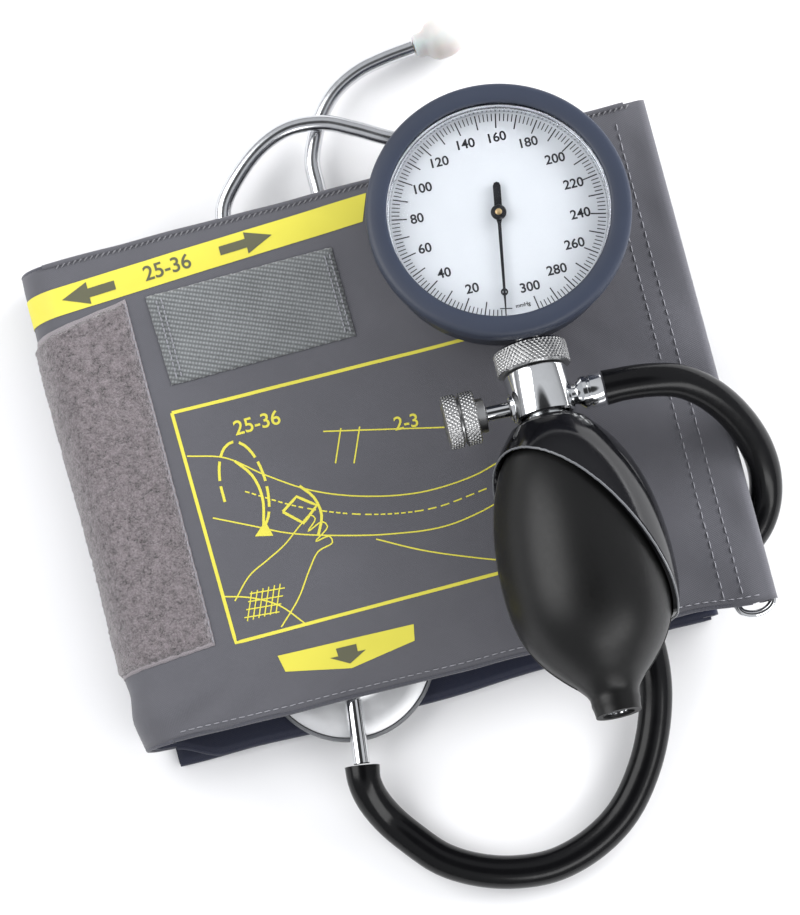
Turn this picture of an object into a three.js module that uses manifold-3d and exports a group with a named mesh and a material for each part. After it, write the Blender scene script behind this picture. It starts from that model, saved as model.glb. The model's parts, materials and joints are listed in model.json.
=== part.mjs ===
// Upper arm blood pressure monitor with its stethoscope, folded flat for storage.
// Millimetres, +Z up. The origin is the centre of the folded cuff's flat underside.
// X runs along the folded cuff and Y across it. The hand unit lies on the cuff in its
// own turned group: there +Y points from the bulb to the gauge and +Z out of the dial.
import * as THREE from "three";
import * as BufferGeometryUtils from "three/addons/utils/BufferGeometryUtils.js";
import Module from "manifold-3d";

const wasm = await Module();
wasm.setup();

// ---- driving dimensions ----
const GAP = 0.3;
const CUFF = {
  halfWidth: 73.4, top: 21, lining: 0.9,
  lowerTop: 4.8, lowerRight: 78.4, tailEnd: -86, lowerShift: -3.8, shiftFrom: 5, shiftTo: 16,
};
const HEM = { x: 92.3, z: 18.5, outer: 2.6, inner: 1.8 };
const RING = { wire: 2.4, width: 10.2, near: -78.8, far: 74.9, drop: 1.5 };
const UNIT = { x: 43.6, y: 47.6, z: 34.8, pitch: -7, yaw: -2.3 };
const GAUGE = { caseRadius: 35.1, back: -8, rim: 14.5, wall: 1.6, bumper: 38, window: 32, front: 16.6 };
const SCALE = { pinionTeeth: 12, sectorTeeth: 120, module: 0.25, sweep: 341.7, gap: 18.3 };
const STEM = { radius: 3.8, collar: 10.6, collarTop: -37.4, collarEnd: -44.8 };
const VALVE = { radius: 9.2, top: -45.1, end: -59, plug: 6, plugEnd: -70, crossY: -54.2 };
const KNOB = { outer: 7.7, start: -19, end: -28.5, groove: -23.8, hub: 5, hubEnd: -16.6, spindle: 2.2 };
const NOZZLE = { neck: 3, ferrule: 4.9, start: 4.5, shoulder: 11.9, end: 17.6 };
const BULB = { wall: 2, mouth: 6.4, mouthY: -61.2, tailY: -147, tailBore: 4.6 };
const GUARD = { wall: 2.2, gap: 0.5, top: -59.9, topRadius: 8.4, slantX: 1.265, slantZ: 0.88, slantAt: -94.2 };
const TUBE = { hose: 9.7, scope: 9.7, ear: 4.7, stem: 4.9 };
const CHEST = { x: -30.6, y: -58.2 };
const PORT = { x: 14, y: 54, z: 10.4, reach: 10 };

const deg = THREE.MathUtils.degToRad;
const part = new THREE.Group();

// ---- materials ----
const finish = (color, roughness, metalness = 0) =>
  new THREE.MeshStandardMaterial({ color, roughness, metalness });
const nylonGrey = () => finish(0x5a5a62, 0.85);
const nylonNavy = () => finish(0x1a2340, 0.85);
const chrome = () => finish(0xd8dadd, 0.15, 1);
const brass = () => finish(0xb9995a, 0.35, 1);
const blackRubber = () => finish(0x141414, 0.5);
const clearPlastic = () => finish(0xe8eef2, 0.08);

// ---- closed meshes and booleans ----
function closed(geometry) {
  const clean = geometry.clone();
  clean.deleteAttribute("normal");
  clean.deleteAttribute("uv");
  const merged = BufferGeometryUtils.mergeVertices(clean, 1e-4);
  const p = merged.attributes.position;
  const index = merged.index.array;
  const a = new THREE.Vector3();
  const b = new THREE.Vector3();
  const c = new THREE.Vector3();
  let volume = 0;
  const kept = [];
  for (let i = 0; i < index.length; i += 3) {
    const [u, v, w] = [index[i], index[i + 1], index[i + 2]];
    if (u === v || v === w || u === w) continue;
    a.fromBufferAttribute(p, u);
    b.fromBufferAttribute(p, v);
    c.fromBufferAttribute(p, w);
    volume += a.dot(b.cross(c));
    kept.push(u, v, w);
  }
  if (volume < 0) {
    kept.reverse();
  }
  merged.setIndex(kept);
  return merged;
}

function toSolid(geometry) {
  const g = closed(geometry);
  const vertProperties = Float32Array.from(g.attributes.position.array);
  const triVerts = Uint32Array.from(g.index.array);
  return new wasm.Manifold(new wasm.Mesh({ numProp: 3, vertProperties, triVerts }));
}

function fromSolid(solid) {
  const mesh = solid.getMesh();
  const geometry = new THREE.BufferGeometry();
  const positions = new Float32Array(mesh.numVert * 3);
  for (let i = 0; i < mesh.numVert; i += 1) {
    for (let k = 0; k < 3; k += 1) positions[i * 3 + k] = mesh.vertProperties[i * mesh.numProp + k];
  }
  geometry.setAttribute("position", new THREE.BufferAttribute(positions, 3));
  geometry.setIndex(new THREE.BufferAttribute(Uint32Array.from(mesh.triVerts), 1));
  return geometry;
}

const cut = (geometry, ...tools) =>
  fromSolid(tools.reduce((solid, tool) => solid.subtract(toSolid(tool)), toSolid(geometry)));
const join = (geometry, ...others) =>
  fromSolid(others.reduce((solid, other) => solid.add(toSolid(other)), toSolid(geometry)));

// ---- shape helpers ----
function lathe(profile, segments = 24, axis = "z") {
  const points = profile.map(([r, h]) => new THREE.Vector2(r, h));
  const geometry = new THREE.LatheGeometry(points, segments);
  if (axis === "z") geometry.rotateX(Math.PI / 2);
  if (axis === "x") geometry.rotateZ(-Math.PI / 2);
  return geometry;
}

// a solid or hollow round bar from one height to another along an axis
function bar(radius, from, to, { bore = 0, segments = 20, axis = "z" } = {}) {
  const profile = [[bore, from], [radius, from], [radius, to], [bore, to]];
  if (bore > 0) profile.push([bore, from]);
  return lathe(profile, segments, axis);
}

function plate(shape, depth, z = 0, curveSegments = 12) {
  const geometry = new THREE.ExtrudeGeometry(shape, { depth, bevelEnabled: false, curveSegments });
  geometry.translate(0, 0, z);
  return geometry;
}

function outline(points) {
  return new THREE.Shape(points.map(([x, y]) => new THREE.Vector2(x, y)));
}

function circle(radius, sides) {
  const shape = new THREE.Shape();
  for (let i = 0; i < sides; i += 1) {
    const a = (2 * Math.PI * i) / sides;
    if (i === 0) shape.moveTo(radius, 0);
    else shape.lineTo(radius * Math.cos(a), radius * Math.sin(a));
  }
  shape.closePath();
  return shape;
}

function tube(points, diameter, steps, sides = 8) {
  const curve = new THREE.CatmullRomCurve3(points.map((p) => new THREE.Vector3(...p)));
  const round = circle(diameter / 2, sides);
  return new THREE.ExtrudeGeometry(round, { steps, extrudePath: curve, bevelEnabled: false });
}

function box(x0, x1, y0, y1, z0, z1) {
  const geometry = new THREE.BoxGeometry(x1 - x0, y1 - y0, z1 - z0);
  geometry.translate((x0 + x1) / 2, (y0 + y1) / 2, (z0 + z1) / 2);
  return geometry;
}

function addNode(parent, name, geometry, material, place = {}) {
  const mesh = new THREE.Mesh(closed(geometry), material);
  mesh.name = name;
  mesh.position.set(place.x ?? 0, place.y ?? 0, place.z ?? 0);
  mesh.rotation.z = deg(place.turn ?? 0);
  parent.add(mesh);
  return mesh;
}

// ---- cuff: one strip folded into three layers, then the pieces sewn on it ----
const FOLD = { x: -85.35, z: 11.85, outer: 9.15 };
const RIGHT_FOLD = { x: CUFF.lowerRight - 2.4, z: 2.4 };

// a section in X and Z swept across the cuff; the lower layers lie a little further towards -Y
function across(shape, low, high) {
  const geometry = plate(shape, high - low, 0, 10);
  geometry.rotateX(Math.PI / 2);
  geometry.translate(0, high, 0);
  const p = geometry.attributes.position;
  for (let i = 0; i < p.count; i += 1) {
    const t = THREE.MathUtils.smoothstep(p.getZ(i), CUFF.shiftFrom, CUFF.shiftTo);
    p.setY(i, p.getY(i) + CUFF.lowerShift * (1 - t));
  }
  return geometry;
}

function outerFabricSection() {
  const s = new THREE.Shape();
  const inner = FOLD.outer - 1;
  s.moveTo(HEM.x - 0.8, CUFF.top);
  s.lineTo(FOLD.x, CUFF.top);
  s.absarc(FOLD.x, FOLD.z, FOLD.outer, Math.PI / 2, (3 * Math.PI) / 2, false);
  s.lineTo(RIGHT_FOLD.x, RIGHT_FOLD.z + GAP);
  s.absarc(RIGHT_FOLD.x, RIGHT_FOLD.z, GAP, Math.PI / 2, -Math.PI / 2, true);
  s.lineTo(CUFF.tailEnd, RIGHT_FOLD.z - GAP);
  s.lineTo(CUFF.tailEnd, RIGHT_FOLD.z - GAP - 1);
  s.lineTo(RIGHT_FOLD.x, RIGHT_FOLD.z - GAP - 1);
  s.absarc(RIGHT_FOLD.x, RIGHT_FOLD.z, GAP + 1, -Math.PI / 2, Math.PI / 2, false);
  s.lineTo(FOLD.x, FOLD.z - inner);
  s.absarc(FOLD.x, FOLD.z, inner, (3 * Math.PI) / 2, Math.PI / 2, true);
  s.lineTo(HEM.x - 0.8, FOLD.z + inner);
  s.closePath();
  return s;
}

function liningSection() {
  const s = new THREE.Shape();
  const mid = 10.4;
  const t = CUFF.lining;
  const outer = 6.5;
  const end = HEM.x - HEM.outer - 0.4;
  s.moveTo(end, 19.8);
  s.lineTo(70, 19.8);
  s.lineTo(62, mid + outer);
  s.lineTo(FOLD.x, mid + outer);
  s.absarc(FOLD.x, mid, outer, Math.PI / 2, (3 * Math.PI) / 2, false);
  s.lineTo(RIGHT_FOLD.x, mid - outer);
  s.absarc(RIGHT_FOLD.x, RIGHT_FOLD.z, 1.5, Math.PI / 2, -Math.PI / 2, true);
  s.lineTo(CUFF.tailEnd, t);
  s.lineTo(CUFF.tailEnd, 0);
  s.lineTo(RIGHT_FOLD.x, 0);
  s.absarc(RIGHT_FOLD.x, RIGHT_FOLD.z, 2.4, -Math.PI / 2, Math.PI / 2, false);
  s.lineTo(FOLD.x, mid - outer + t);
  s.absarc(FOLD.x, mid, outer - t, (3 * Math.PI) / 2, Math.PI / 2, true);
  s.lineTo(62.4, mid + outer - t);
  s.lineTo(70.4, 19.8 - t);
  s.lineTo(end, 19.8 - t);
  s.closePath();
  return s;
}

function hookPatchSection() {
  const s = new THREE.Shape();
  const from = Math.PI / 2;
  const to = deg(152);
  s.moveTo(-67.6, FOLD.z + FOLD.outer + GAP);
  s.lineTo(-67.6, FOLD.z + FOLD.outer + 1.5);
  s.lineTo(FOLD.x, FOLD.z + FOLD.outer + 1.5);
  s.absarc(FOLD.x, FOLD.z, FOLD.outer + 1.5, from, to, false);
  s.absarc(FOLD.x, FOLD.z, FOLD.outer + GAP, to, from, true);
  s.closePath();
  return s;
}

function makeCuff() {
  const w = CUFF.halfWidth;
  const hem = bar(HEM.outer, -w, w, { axis: "y" });
  hem.translate(HEM.x, 0, HEM.z);
  const hemHole = bar(HEM.inner, -w - 1, w + 1, { axis: "y" });
  hemHole.translate(HEM.x, 0, HEM.z);
  const outer = join(across(outerFabricSection(), -w, w), hem);
  addNode(part, "cuff_outer_fabric", cut(outer, hemHole), nylonGrey());
  addNode(part, "cuff_lining", across(liningSection(), -w, w), nylonNavy());
  addNode(part, "bladder", box(-58, 56, -61, 61, 17.2, 19.7), finish(0x2b2b2e, 0.7));
  addNode(part, "hook_patch", across(hookPatchSection(), -47.2, 57), finish(0x8d8590, 1));
  addNode(part, "gauge_holder_band", box(-60.3, -4.2, 29.8, 56.8, 21.3, 22.3), finish(0x6f7a78, 0.9));
}

function makeRing() {
  const r = RING.wire / 2;
  const inner = HEM.x - RING.width;
  const low = HEM.z - RING.drop;
  const { near, far } = RING;
  const along = (x, z) => bar(r, near, far, { axis: "y", segments: 10 }).translate(x, 0, z);
  const tilt = Math.atan2(RING.drop, RING.width);
  const length = Math.hypot(RING.drop, RING.width);
  const rest = [along(inner, low)];
  for (const y of [near, far]) {
    const end = bar(r, 0, length, { axis: "x", segments: 10 });
    end.rotateY(-tilt);
    end.translate(inner, y, low);
    rest.push(end);
    for (const [x, z] of [[inner, low], [HEM.x, HEM.z]]) {
      rest.push(new THREE.SphereGeometry(r, 10, 6).translate(x, y, z));
    }
  }
  addNode(part, "metal_ring", join(along(HEM.x, HEM.z), ...rest), chrome());
}

function makeBladderPort() {
  const flange = bar(8, 13.6, 15.7).translate(PORT.x, PORT.y, 0);
  const riser = bar(3.6, PORT.z - 3.4, 14).translate(PORT.x, PORT.y, 0);
  const spigot = bar(3.1, 0, PORT.reach, { axis: "x" }).translate(PORT.x, PORT.y, PORT.z);
  const bore = bar(1.8, 1, PORT.reach + 1, { axis: "x" }).translate(PORT.x, PORT.y, PORT.z);
  addNode(part, "bladder_port", cut(join(flange, riser, spigot), bore), blackRubber());
}

// ---- stethoscope ----
const SCOPE_ROUTE = [
  [-34.92, -91.1, 12.7], [-35.45, -95.2, 12.6], [-34.6, -100.5, 10.2], [-31.4, -107.5, 6.6], [-26.4, -114.6, 5.1],
  [-19.3, -122.7, 4.95], [-9.7, -128.6, 4.95], [1, -132, 4.95], [12, -132.8, 4.95],
  [24.2, -129.7, 4.95], [35, -123.2, 4.95], [44.5, -112, 5.4], [51, -99, 7.4],
  [54.2, -86, 9.8], [54.2, -72, 10.4], [50.5, -57, 10.4], [43, -43.5, 10.4],
  [32.5, -32, 10.4], [20, -23, 10.4], [7.5, -15, 10.4], [-3, -6, 10.4],
  [-9.9, 4, 10.4], [-11.9, 12, 10.4], [-12, 17.3, 10.4],
];
const EAR_LEFT_ROUTE = [
  [-14.6, 38.5, 11.8], [-16.5, 43, 11.9], [-21.6, 51, 12.6], [-28, 61.5, 13.2], [-32.6, 70.5, 13.3],
  [-31.6, 78, 13.3], [-25, 86.2, 13.4], [-15.8, 93.2, 13.4], [-6.9, 96.2, 13.4],
  [3.4, 95.2, 13.4], [12, 91, 13.4], [21.2, 85.6, 13.2], [30, 82, 12.9], [38, 81, 12.5],
];
const EAR_RIGHT_ROUTE = [
  [-9.2, 38.5, 9.1], [-8.4, 42, 9.1], [-6, 52, 8.2], [-3.8, 64, 7.7], [-3, 77, 7.6], [-2.6, 85.6, 7.6],
  [-0.2, 92, 7.6], [3.9, 99, 7.6], [9.7, 104.9, 7.4], [17.7, 109, 7.1], [26.3, 110.9, 6.8],
  [35.4, 111.9, 6.6],
];

function makeChestpiece() {
  const head = new THREE.Group();
  head.position.set(CHEST.x, CHEST.y, 0);
  head.rotation.z = deg(-7.5);
  part.add(head);
  const body = lathe([[0, 7.2], [23.4, 7.2], [24.4, 8.2], [24.4, 9.4], [20, 10.4], [13.4, 11],
    [12.8, 12.2], [12.4, 15], [11.6, 15.6], [0, 15.6]], 32);
  const stemHole = bar(2.8, -26, -6, { axis: "y" }).translate(0, 0, 12.7);
  addNode(head, "chestpiece_body", cut(body, stemHole), finish(0xc9cbcf, 0.35, 0.7));
  addNode(head, "diaphragm", bar(22.6, 6.1, 6.7, { segments: 32 }), finish(0xd9d6cf, 0.4));
  const rim = lathe([[22.9, 5.4], [25.2, 5.4], [25.6, 6], [25.6, 8.8], [24.8, 9.2], [24.8, 6.9],
    [22.9, 6.9], [22.9, 5.4]], 32);
  addNode(head, "diaphragm_ring", rim, finish(0x6e7074, 0.45));
  const stem = bar(TUBE.stem / 2, -32.6, -6.5, { axis: "y", bore: 1.4 }).translate(0, 0, 12.7);
  addNode(head, "chestpiece_stem", stem, chrome());
}

function makeEarTip(name, end, heading) {
  const tip = lathe([[0, 0.2], [2.9, 0.2], [3.6, 1.4], [3.7, 3.2], [5.4, 5], [6.2, 8],
    [5.8, 11.4], [4, 14.4], [1.6, 15.6], [0, 15.6]], 18, "x");
  const bore = bar(1.2, 4, 17, { axis: "x" });
  const mesh = addNode(part, name, cut(tip, bore), finish(0xf2f2ee, 0.4), { turn: heading });
  mesh.position.set(...end);
}

function makeStethoscope() {
  makeChestpiece();
  addNode(part, "stethoscope_tube", tube(SCOPE_ROUTE, TUBE.scope, 40), blackRubber());
  const yoke = outline([[-4.6, 0], [4.6, 0], [5.4, 8], [7.2, 19.4], [-7.2, 19.4], [-5.4, 8]]);
  addNode(part, "y_connector", plate(yoke, 9.6, 0), blackRubber(), { x: -12, y: 17.7, z: 5.6 });
  addNode(part, "ear_tube_left", tube(EAR_LEFT_ROUTE, TUBE.ear, 34), chrome());
  addNode(part, "ear_tube_right", tube(EAR_RIGHT_ROUTE, TUBE.ear, 28), chrome());
  makeEarTip("ear_tip_left", [38.3, 81, 12.5], -4);
  makeEarTip("ear_tip_right", [35.7, 111.95, 6.6], 4);
}

// ---- air hose from the hand unit into the fold ----
const HOSE_ROUTE = [
  [59.65, -6.89, 41.4], [66, -7.2, 41.5], [73.5, -8.2, 41], [80.5, -10, 39.2], [87, -13.8, 35.6],
  [92.6, -19.2, 30.8], [97, -25.8, 25.2], [99.8, -33, 19.4], [100.4, -40.2, 14.6],
  [98.6, -47.4, 11.4], [94.4, -53.6, 10.3], [88, -57.8, 10.1], [80.5, -58.2, 10.1],
  [74, -54.6, 10.1], [69.8, -47.5, 10.2], [67.6, -38, 10.3], [66.4, -25, 10.4], [65, -10, 10.4],
  [62, 5, 10.4], [57, 19, 10.4], [50.6, 32, 10.4], [42.6, 43.6, 10.4], [34, 51.4, 10.4],
  [29.4, 53.6, 10.4], [24.7, 54, 10.4],
];

// ---- hand unit: gauge, valve, knob, guard and bulb ----
const unit = new THREE.Group();
unit.position.set(UNIT.x, UNIT.y, UNIT.z);
unit.rotation.set(deg(UNIT.pitch), 0, deg(UNIT.yaw), "ZXY");
part.add(unit);

const STACK = {
  capsule: [-6, -3.2], pin: [-2.9, -0.8], plate: [0, 0.8], sector: [1.3, 2.1],
  bridge: [3.4, 4.2], dial: [9.4, 10], ring: [10.3, 11.4], needle: [11.4, 11.8], hub: [11.9, 13.1],
  lens: [13.7, 15],
};
const SECTOR = { radius: (SCALE.sectorTeeth * SCALE.module) / 2, teethEachSide: 9 };
const PINION_RADIUS = (SCALE.pinionTeeth * SCALE.module) / 2;
const SECTOR_Y = SECTOR.radius + PINION_RADIUS;

function makeGauge() {
  const g = GAUGE;
  const r = g.caseRadius;
  const shell = lathe([[0, g.back], [r - 4, g.back], [r - 1.2, g.back + 1.4], [r, g.back + 4],
    [r, g.rim], [r - 0.8, g.rim], [r - 0.8, STACK.lens[0] - GAP], [r - g.wall, STACK.lens[0] - GAP],
    [r - g.wall, g.back + 3.2], [r - 4.4, g.back + g.wall], [0, g.back + g.wall]], 36);
  const stemHole = bar(STEM.radius + GAP, -g.caseRadius - 2, -28, { axis: "y" });
  addNode(unit, "gauge_case", cut(shell, stemHole), finish(0x343a4c, 0.5));
  const lip = STACK.lens[1] + GAP;
  const bumper = lathe([[g.window, lip], [g.window, g.front - 0.6], [g.window + 0.6, g.front],
    [g.bumper - 1.4, g.front], [g.bumper, g.front - 1.4], [g.bumper, 11.6], [g.bumper - 0.8, 10.9],
    [r + GAP, 10.9], [r + GAP, lip], [g.window, lip]], 40);
  addNode(unit, "gauge_bumper", bumper, finish(0x444a5c, 0.55));
  addNode(unit, "gauge_lens", bar(r - 1.1, ...STACK.lens, { segments: 36 }), clearPlastic());
  const [base, crest] = STACK.ring;
  const silver = lathe([[31, base], [33, base], [33, crest], [32.2, crest], [31, base + 0.4], [31, base]], 36);
  addNode(unit, "dial_ring", silver, chrome());
  addNode(unit, "dial_plate", bar(33, ...STACK.dial, { bore: 1.3, segments: 36 }), finish(0xf4f5f5, 0.6));
  addNode(unit, "gauge_stem", bar(STEM.radius, -44, -29, { axis: "y", bore: 1.4 }), brass());
  const nut = lathe([[6.5, STEM.collarEnd], [STEM.collar, STEM.collarEnd], [STEM.collar, STEM.collarTop - 1.4],
    [STEM.collar - 1.4, STEM.collarTop], [6.5, STEM.collarTop], [6.5, STEM.collarEnd]], 28, "y");
  addNode(unit, "knurled_collar", nut, chrome());
}

// a toothed outline on part of a circle, then back through the given closing points
function toothed(radius, count, first, last, closing) {
  const pitch = (2 * Math.PI) / count;
  const tip = radius + 0.2;
  const root = radius - 0.3;
  const points = [];
  for (let i = first; i <= last; i += 1) {
    for (const [offset, r] of [[-0.3, root], [-0.17, tip], [0.17, tip], [0.3, root]]) {
      const a = (i + offset) * pitch;
      points.push([r * Math.sin(a), r * Math.cos(a)]);
    }
  }
  return outline([...points, ...closing]);
}

function makeMovement() {
  const floor = GAUGE.back + GAUGE.wall + GAP;
  const capsule = lathe([[0, STACK.capsule[0]], [13, STACK.capsule[0]], [14, -5.2], [14, -4],
    [13, STACK.capsule[1]], [0, STACK.capsule[1]]], 24);
  addNode(unit, "aneroid_capsule", capsule, brass());
  const inlet = bar(1.6, -28.6, -14.4, { axis: "y", bore: 0.8, segments: 16 }).translate(0, 0, -4.4);
  addNode(unit, "capsule_inlet", inlet, brass());
  addNode(unit, "capsule_pin", bar(1.2, ...STACK.pin, { segments: 16 }).translate(0, 4, 0), brass());
  const arborHole = bar(0.9, -1, 3);
  const pinHole = bar(2, -1, 3).translate(0, 4, 0);
  const sectorHole = bar(1.3, -1, 3).translate(0, SECTOR_Y, 0);
  const base = bar(22, ...STACK.plate, { segments: 28 });
  addNode(unit, "movement_plate", cut(base, arborHole, pinHole, sectorHole), brass());
  for (let i = 0; i < 3; i += 1) {
    const a = deg(50 + 120 * i);
    const place = { x: 18.5 * Math.cos(a), y: 18.5 * Math.sin(a) };
    addNode(unit, `movement_pillar_${i + 1}`, bar(1.8, floor, -GAP, { segments: 12 }), brass(), place);
  }
  const strap = box(-4, 4, -6, 21.5, ...STACK.bridge);
  const bridge = cut(strap, bar(0.9, 3, 5), bar(1.3, 3, 5).translate(0, SECTOR_Y, 0));
  const legs = [-4.6, 20.2].map((y) => box(-3, 3, y - 1, y + 1, STACK.plate[1] + GAP, STACK.bridge[0] + 0.2));
  addNode(unit, "movement_bridge", join(bridge, ...legs), brass());

  const sweep = SECTOR.teethEachSide;
  const core = [[1.6, 1.6], [1.6, -1.6], [-1.6, -1.6], [-1.6, 1.6]];
  const sectorShape = toothed(SECTOR.radius, SCALE.sectorTeeth, -sweep, sweep, core);
  const sector = plate(sectorShape, STACK.sector[1] - STACK.sector[0], STACK.sector[0]);
  const arbor = bar(1, -0.4, 4.6, { segments: 16 });
  sector.rotateZ(Math.PI - deg(SCALE.sweep / 20));
  addNode(unit, "sector_gear", join(sector, arbor), brass(), { y: SECTOR_Y });
  const pinion = plate(toothed(PINION_RADIUS, SCALE.pinionTeeth, 0, 11, []), 1.4, 1);
  // a pinion gap faces the sector tooth that the rest angle leaves beside the line of centres
  pinion.rotateZ(deg(360 / SCALE.pinionTeeth / 2 - (180 - SCALE.sweep / 2)));
  const stalk = bar(0.6, -0.4, STACK.needle[0] - GAP, { segments: 16 });
  addNode(unit, "needle_arbor", join(pinion, stalk), brass());
  const spring = lathe([[2.3, 4.5], [4.6, 4.5], [4.6, 4.8], [2.3, 4.8], [2.3, 4.5]], 24);
  addNode(unit, "hairspring", spring, brass());
}

function makeNeedle() {
  const zero = -SCALE.gap / 2;
  const half = [[0.25, -30], [0.55, 0], [1.1, 7.5], [0.8, 9.2]];
  const mirrored = half.map(([x, y]) => [-x, y]).reverse();
  const blade = outline([...half, ...mirrored]);
  const [low, high] = STACK.needle;
  addNode(unit, "needle", plate(blade, high - low, low), finish(0x0d0d0d, 0.4), { turn: zero });
  addNode(unit, "needle_hub", bar(2.2, ...STACK.hub, { segments: 20 }), brass());
}

function makeValve() {
  const v = VALVE;
  const body = lathe([[0, v.plugEnd], [v.plug, v.plugEnd], [v.plug, v.end - 0.6], [v.radius, v.end],
    [v.radius, v.top], [5.6, v.top], [5.6, -44.3], [0, -44.3]], 28, "y");
  const airway = bar(1.8, v.plugEnd - 1, -43, { axis: "y" });
  const spindleBore = bar(KNOB.spindle + GAP, -10, 0.5, { axis: "x" }).translate(0, v.crossY, 0);
  const nozzleBore = bar(NOZZLE.neck + GAP, 1, 10, { axis: "x" }).translate(0, v.crossY, 0);
  addNode(unit, "valve_body", cut(body, airway, spindleBore, nozzleBore), chrome());
  const nozzle = lathe([[1.6, NOZZLE.start], [NOZZLE.neck, NOZZLE.start], [NOZZLE.neck, NOZZLE.shoulder],
    [NOZZLE.ferrule, NOZZLE.shoulder], [NOZZLE.ferrule, NOZZLE.end], [1.6, NOZZLE.end],
    [1.6, NOZZLE.start]], 20, "x");
  addNode(unit, "hose_nozzle", nozzle, chrome(), { y: v.crossY });
  const { outer: o, start, end, groove, hub, hubEnd } = KNOB;
  const knob = lathe([[0, end], [o - 0.6, end], [o, end + 0.6], [o, groove - 0.4], [o - 1, groove - 0.2],
    [o - 1, groove + 0.2], [o, groove + 0.4], [o, start - 0.6], [o - 0.6, start], [hub, start],
    [hub, hubEnd], [0, hubEnd]], 24, "x");
  addNode(unit, "release_knob", knob, chrome(), { y: v.crossY });
  const spindle = bar(KNOB.spindle, KNOB.hubEnd + GAP, -2.6, { axis: "x" });
  addNode(unit, "release_spindle", spindle, chrome(), { y: v.crossY });
  const seat = lathe([[0, -2.3], [KNOB.spindle, -2.3], [KNOB.spindle, -1.4], [0.8, -0.4], [0, -0.4]], 20, "x");
  addNode(unit, "valve_seal", seat, blackRubber(), { y: v.crossY });
}

// bulb outline from the mouth to the tail, as distance along the handle and radius
const BULB_OUTER = [[-61.2, 8.6], [-64.5, 11.4], [-70, 15.4], [-78, 19.2], [-88, 22], [-98, 23.3],
  [-107, 23.5], [-115, 22.9], [-122.5, 21], [-129, 17.6], [-134.5, 13], [-138.5, 9], [-141.5, 7],
  [-147, 6.5]];

function makeBulb() {
  const outer = BULB_OUTER.map(([y, r]) => [r, y]);
  const inner = BULB_OUTER.slice(1, -2).map(([y, r]) => [r - BULB.wall, y]).reverse();
  const shell = lathe([...outer, [BULB.tailBore, BULB.tailY], [BULB.tailBore, -138], ...inner,
    [BULB.mouth, -64], [BULB.mouth, BULB.mouthY], outer[0]], 24, "y");
  addNode(unit, "bulb", shell, blackRubber());
  const plug = bar(BULB.tailBore - GAP, -146.4, -138.6, { axis: "y" });
  const seatHole = bar(1.2, -148, -144, { axis: "y" });
  const intake = cut(plug, seatHole, bar(2.7, -144.1, -138, { axis: "y" }));
  addNode(unit, "intake_valve_body", intake, brass());
  const ball = new THREE.SphereGeometry(2.1, 12, 8);
  addNode(unit, "intake_valve_ball", ball, finish(0xd0d0d0, 0.2, 1), { y: -141.9 });
  const cap = bar(1.4, -75.8, -74.3, { axis: "y", segments: 16 });
  const cage = bar(5.6, -77, -70.3, { axis: "y" });
  const hollow = bar(4, -76, -70, { axis: "y" });
  const port = bar(1.6, -78, -75, { axis: "y" });
  addNode(unit, "outlet_valve_cage", cut(cage, hollow, port), brass());
  addNode(unit, "outlet_valve_disc", cap.scale(2, 1, 2), blackRubber());
}

function makeGuard() {
  const { wall, gap, top, topRadius, slantX, slantZ, slantAt } = GUARD;
  const skin = BULB_OUTER.slice(0, 9).map(([y, r]) => [r, y]);
  const grown = (amount) => skin.map(([r, y]) => [r + amount, y + amount * (y > -80 ? 0.5 : 0)]);
  const outer = lathe([[0, top], [topRadius, top], ...grown(wall), [0, skin.at(-1)[1]]], 28, "y");
  const inner = lathe([[0, top - 1], ...grown(gap), [18, -130], [0, -130]], 28, "y");
  const neck = bar(VALVE.plug + GAP, -62, -58, { axis: "y" });
  // the slanted cut is the plane slantX * x + y - slantZ * z = slantAt
  const normal = new THREE.Vector3(slantX, 1, -slantZ).normalize();
  const across = new THREE.Vector3(1, -slantX, 0).normalize();
  const along = across.clone().cross(normal);
  const slant = box(-90, 90, -160, 0, -90, 90);
  slant.applyMatrix4(new THREE.Matrix4().makeBasis(across, normal, along));
  const shift = normal.clone().multiplyScalar(slantAt / Math.hypot(slantX, 1, slantZ));
  slant.translate(...shift.toArray());
  addNode(unit, "hand_guard", cut(outer, inner, neck, slant), finish(0x0c0c0d, 0.12));
}

makeCuff();
makeRing();
makeBladderPort();
makeStethoscope();
addNode(part, "air_hose", tube(HOSE_ROUTE, TUBE.hose, 40), blackRubber());
makeGauge();
makeMovement();
makeNeedle();
makeValve();
makeBulb();
makeGuard();

export default part;
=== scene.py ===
# Looks for the folded arm cuff, its hand unit and its stethoscope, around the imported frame.
# Metres throughout; lengths in the tables below are millimetres and are scaled by MM.
import json
import random
from math import ceil, cos, exp, hypot, pi, radians, sin, tau
import bmesh
import bpy
from mathutils import Matrix, Vector, noise


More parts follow.
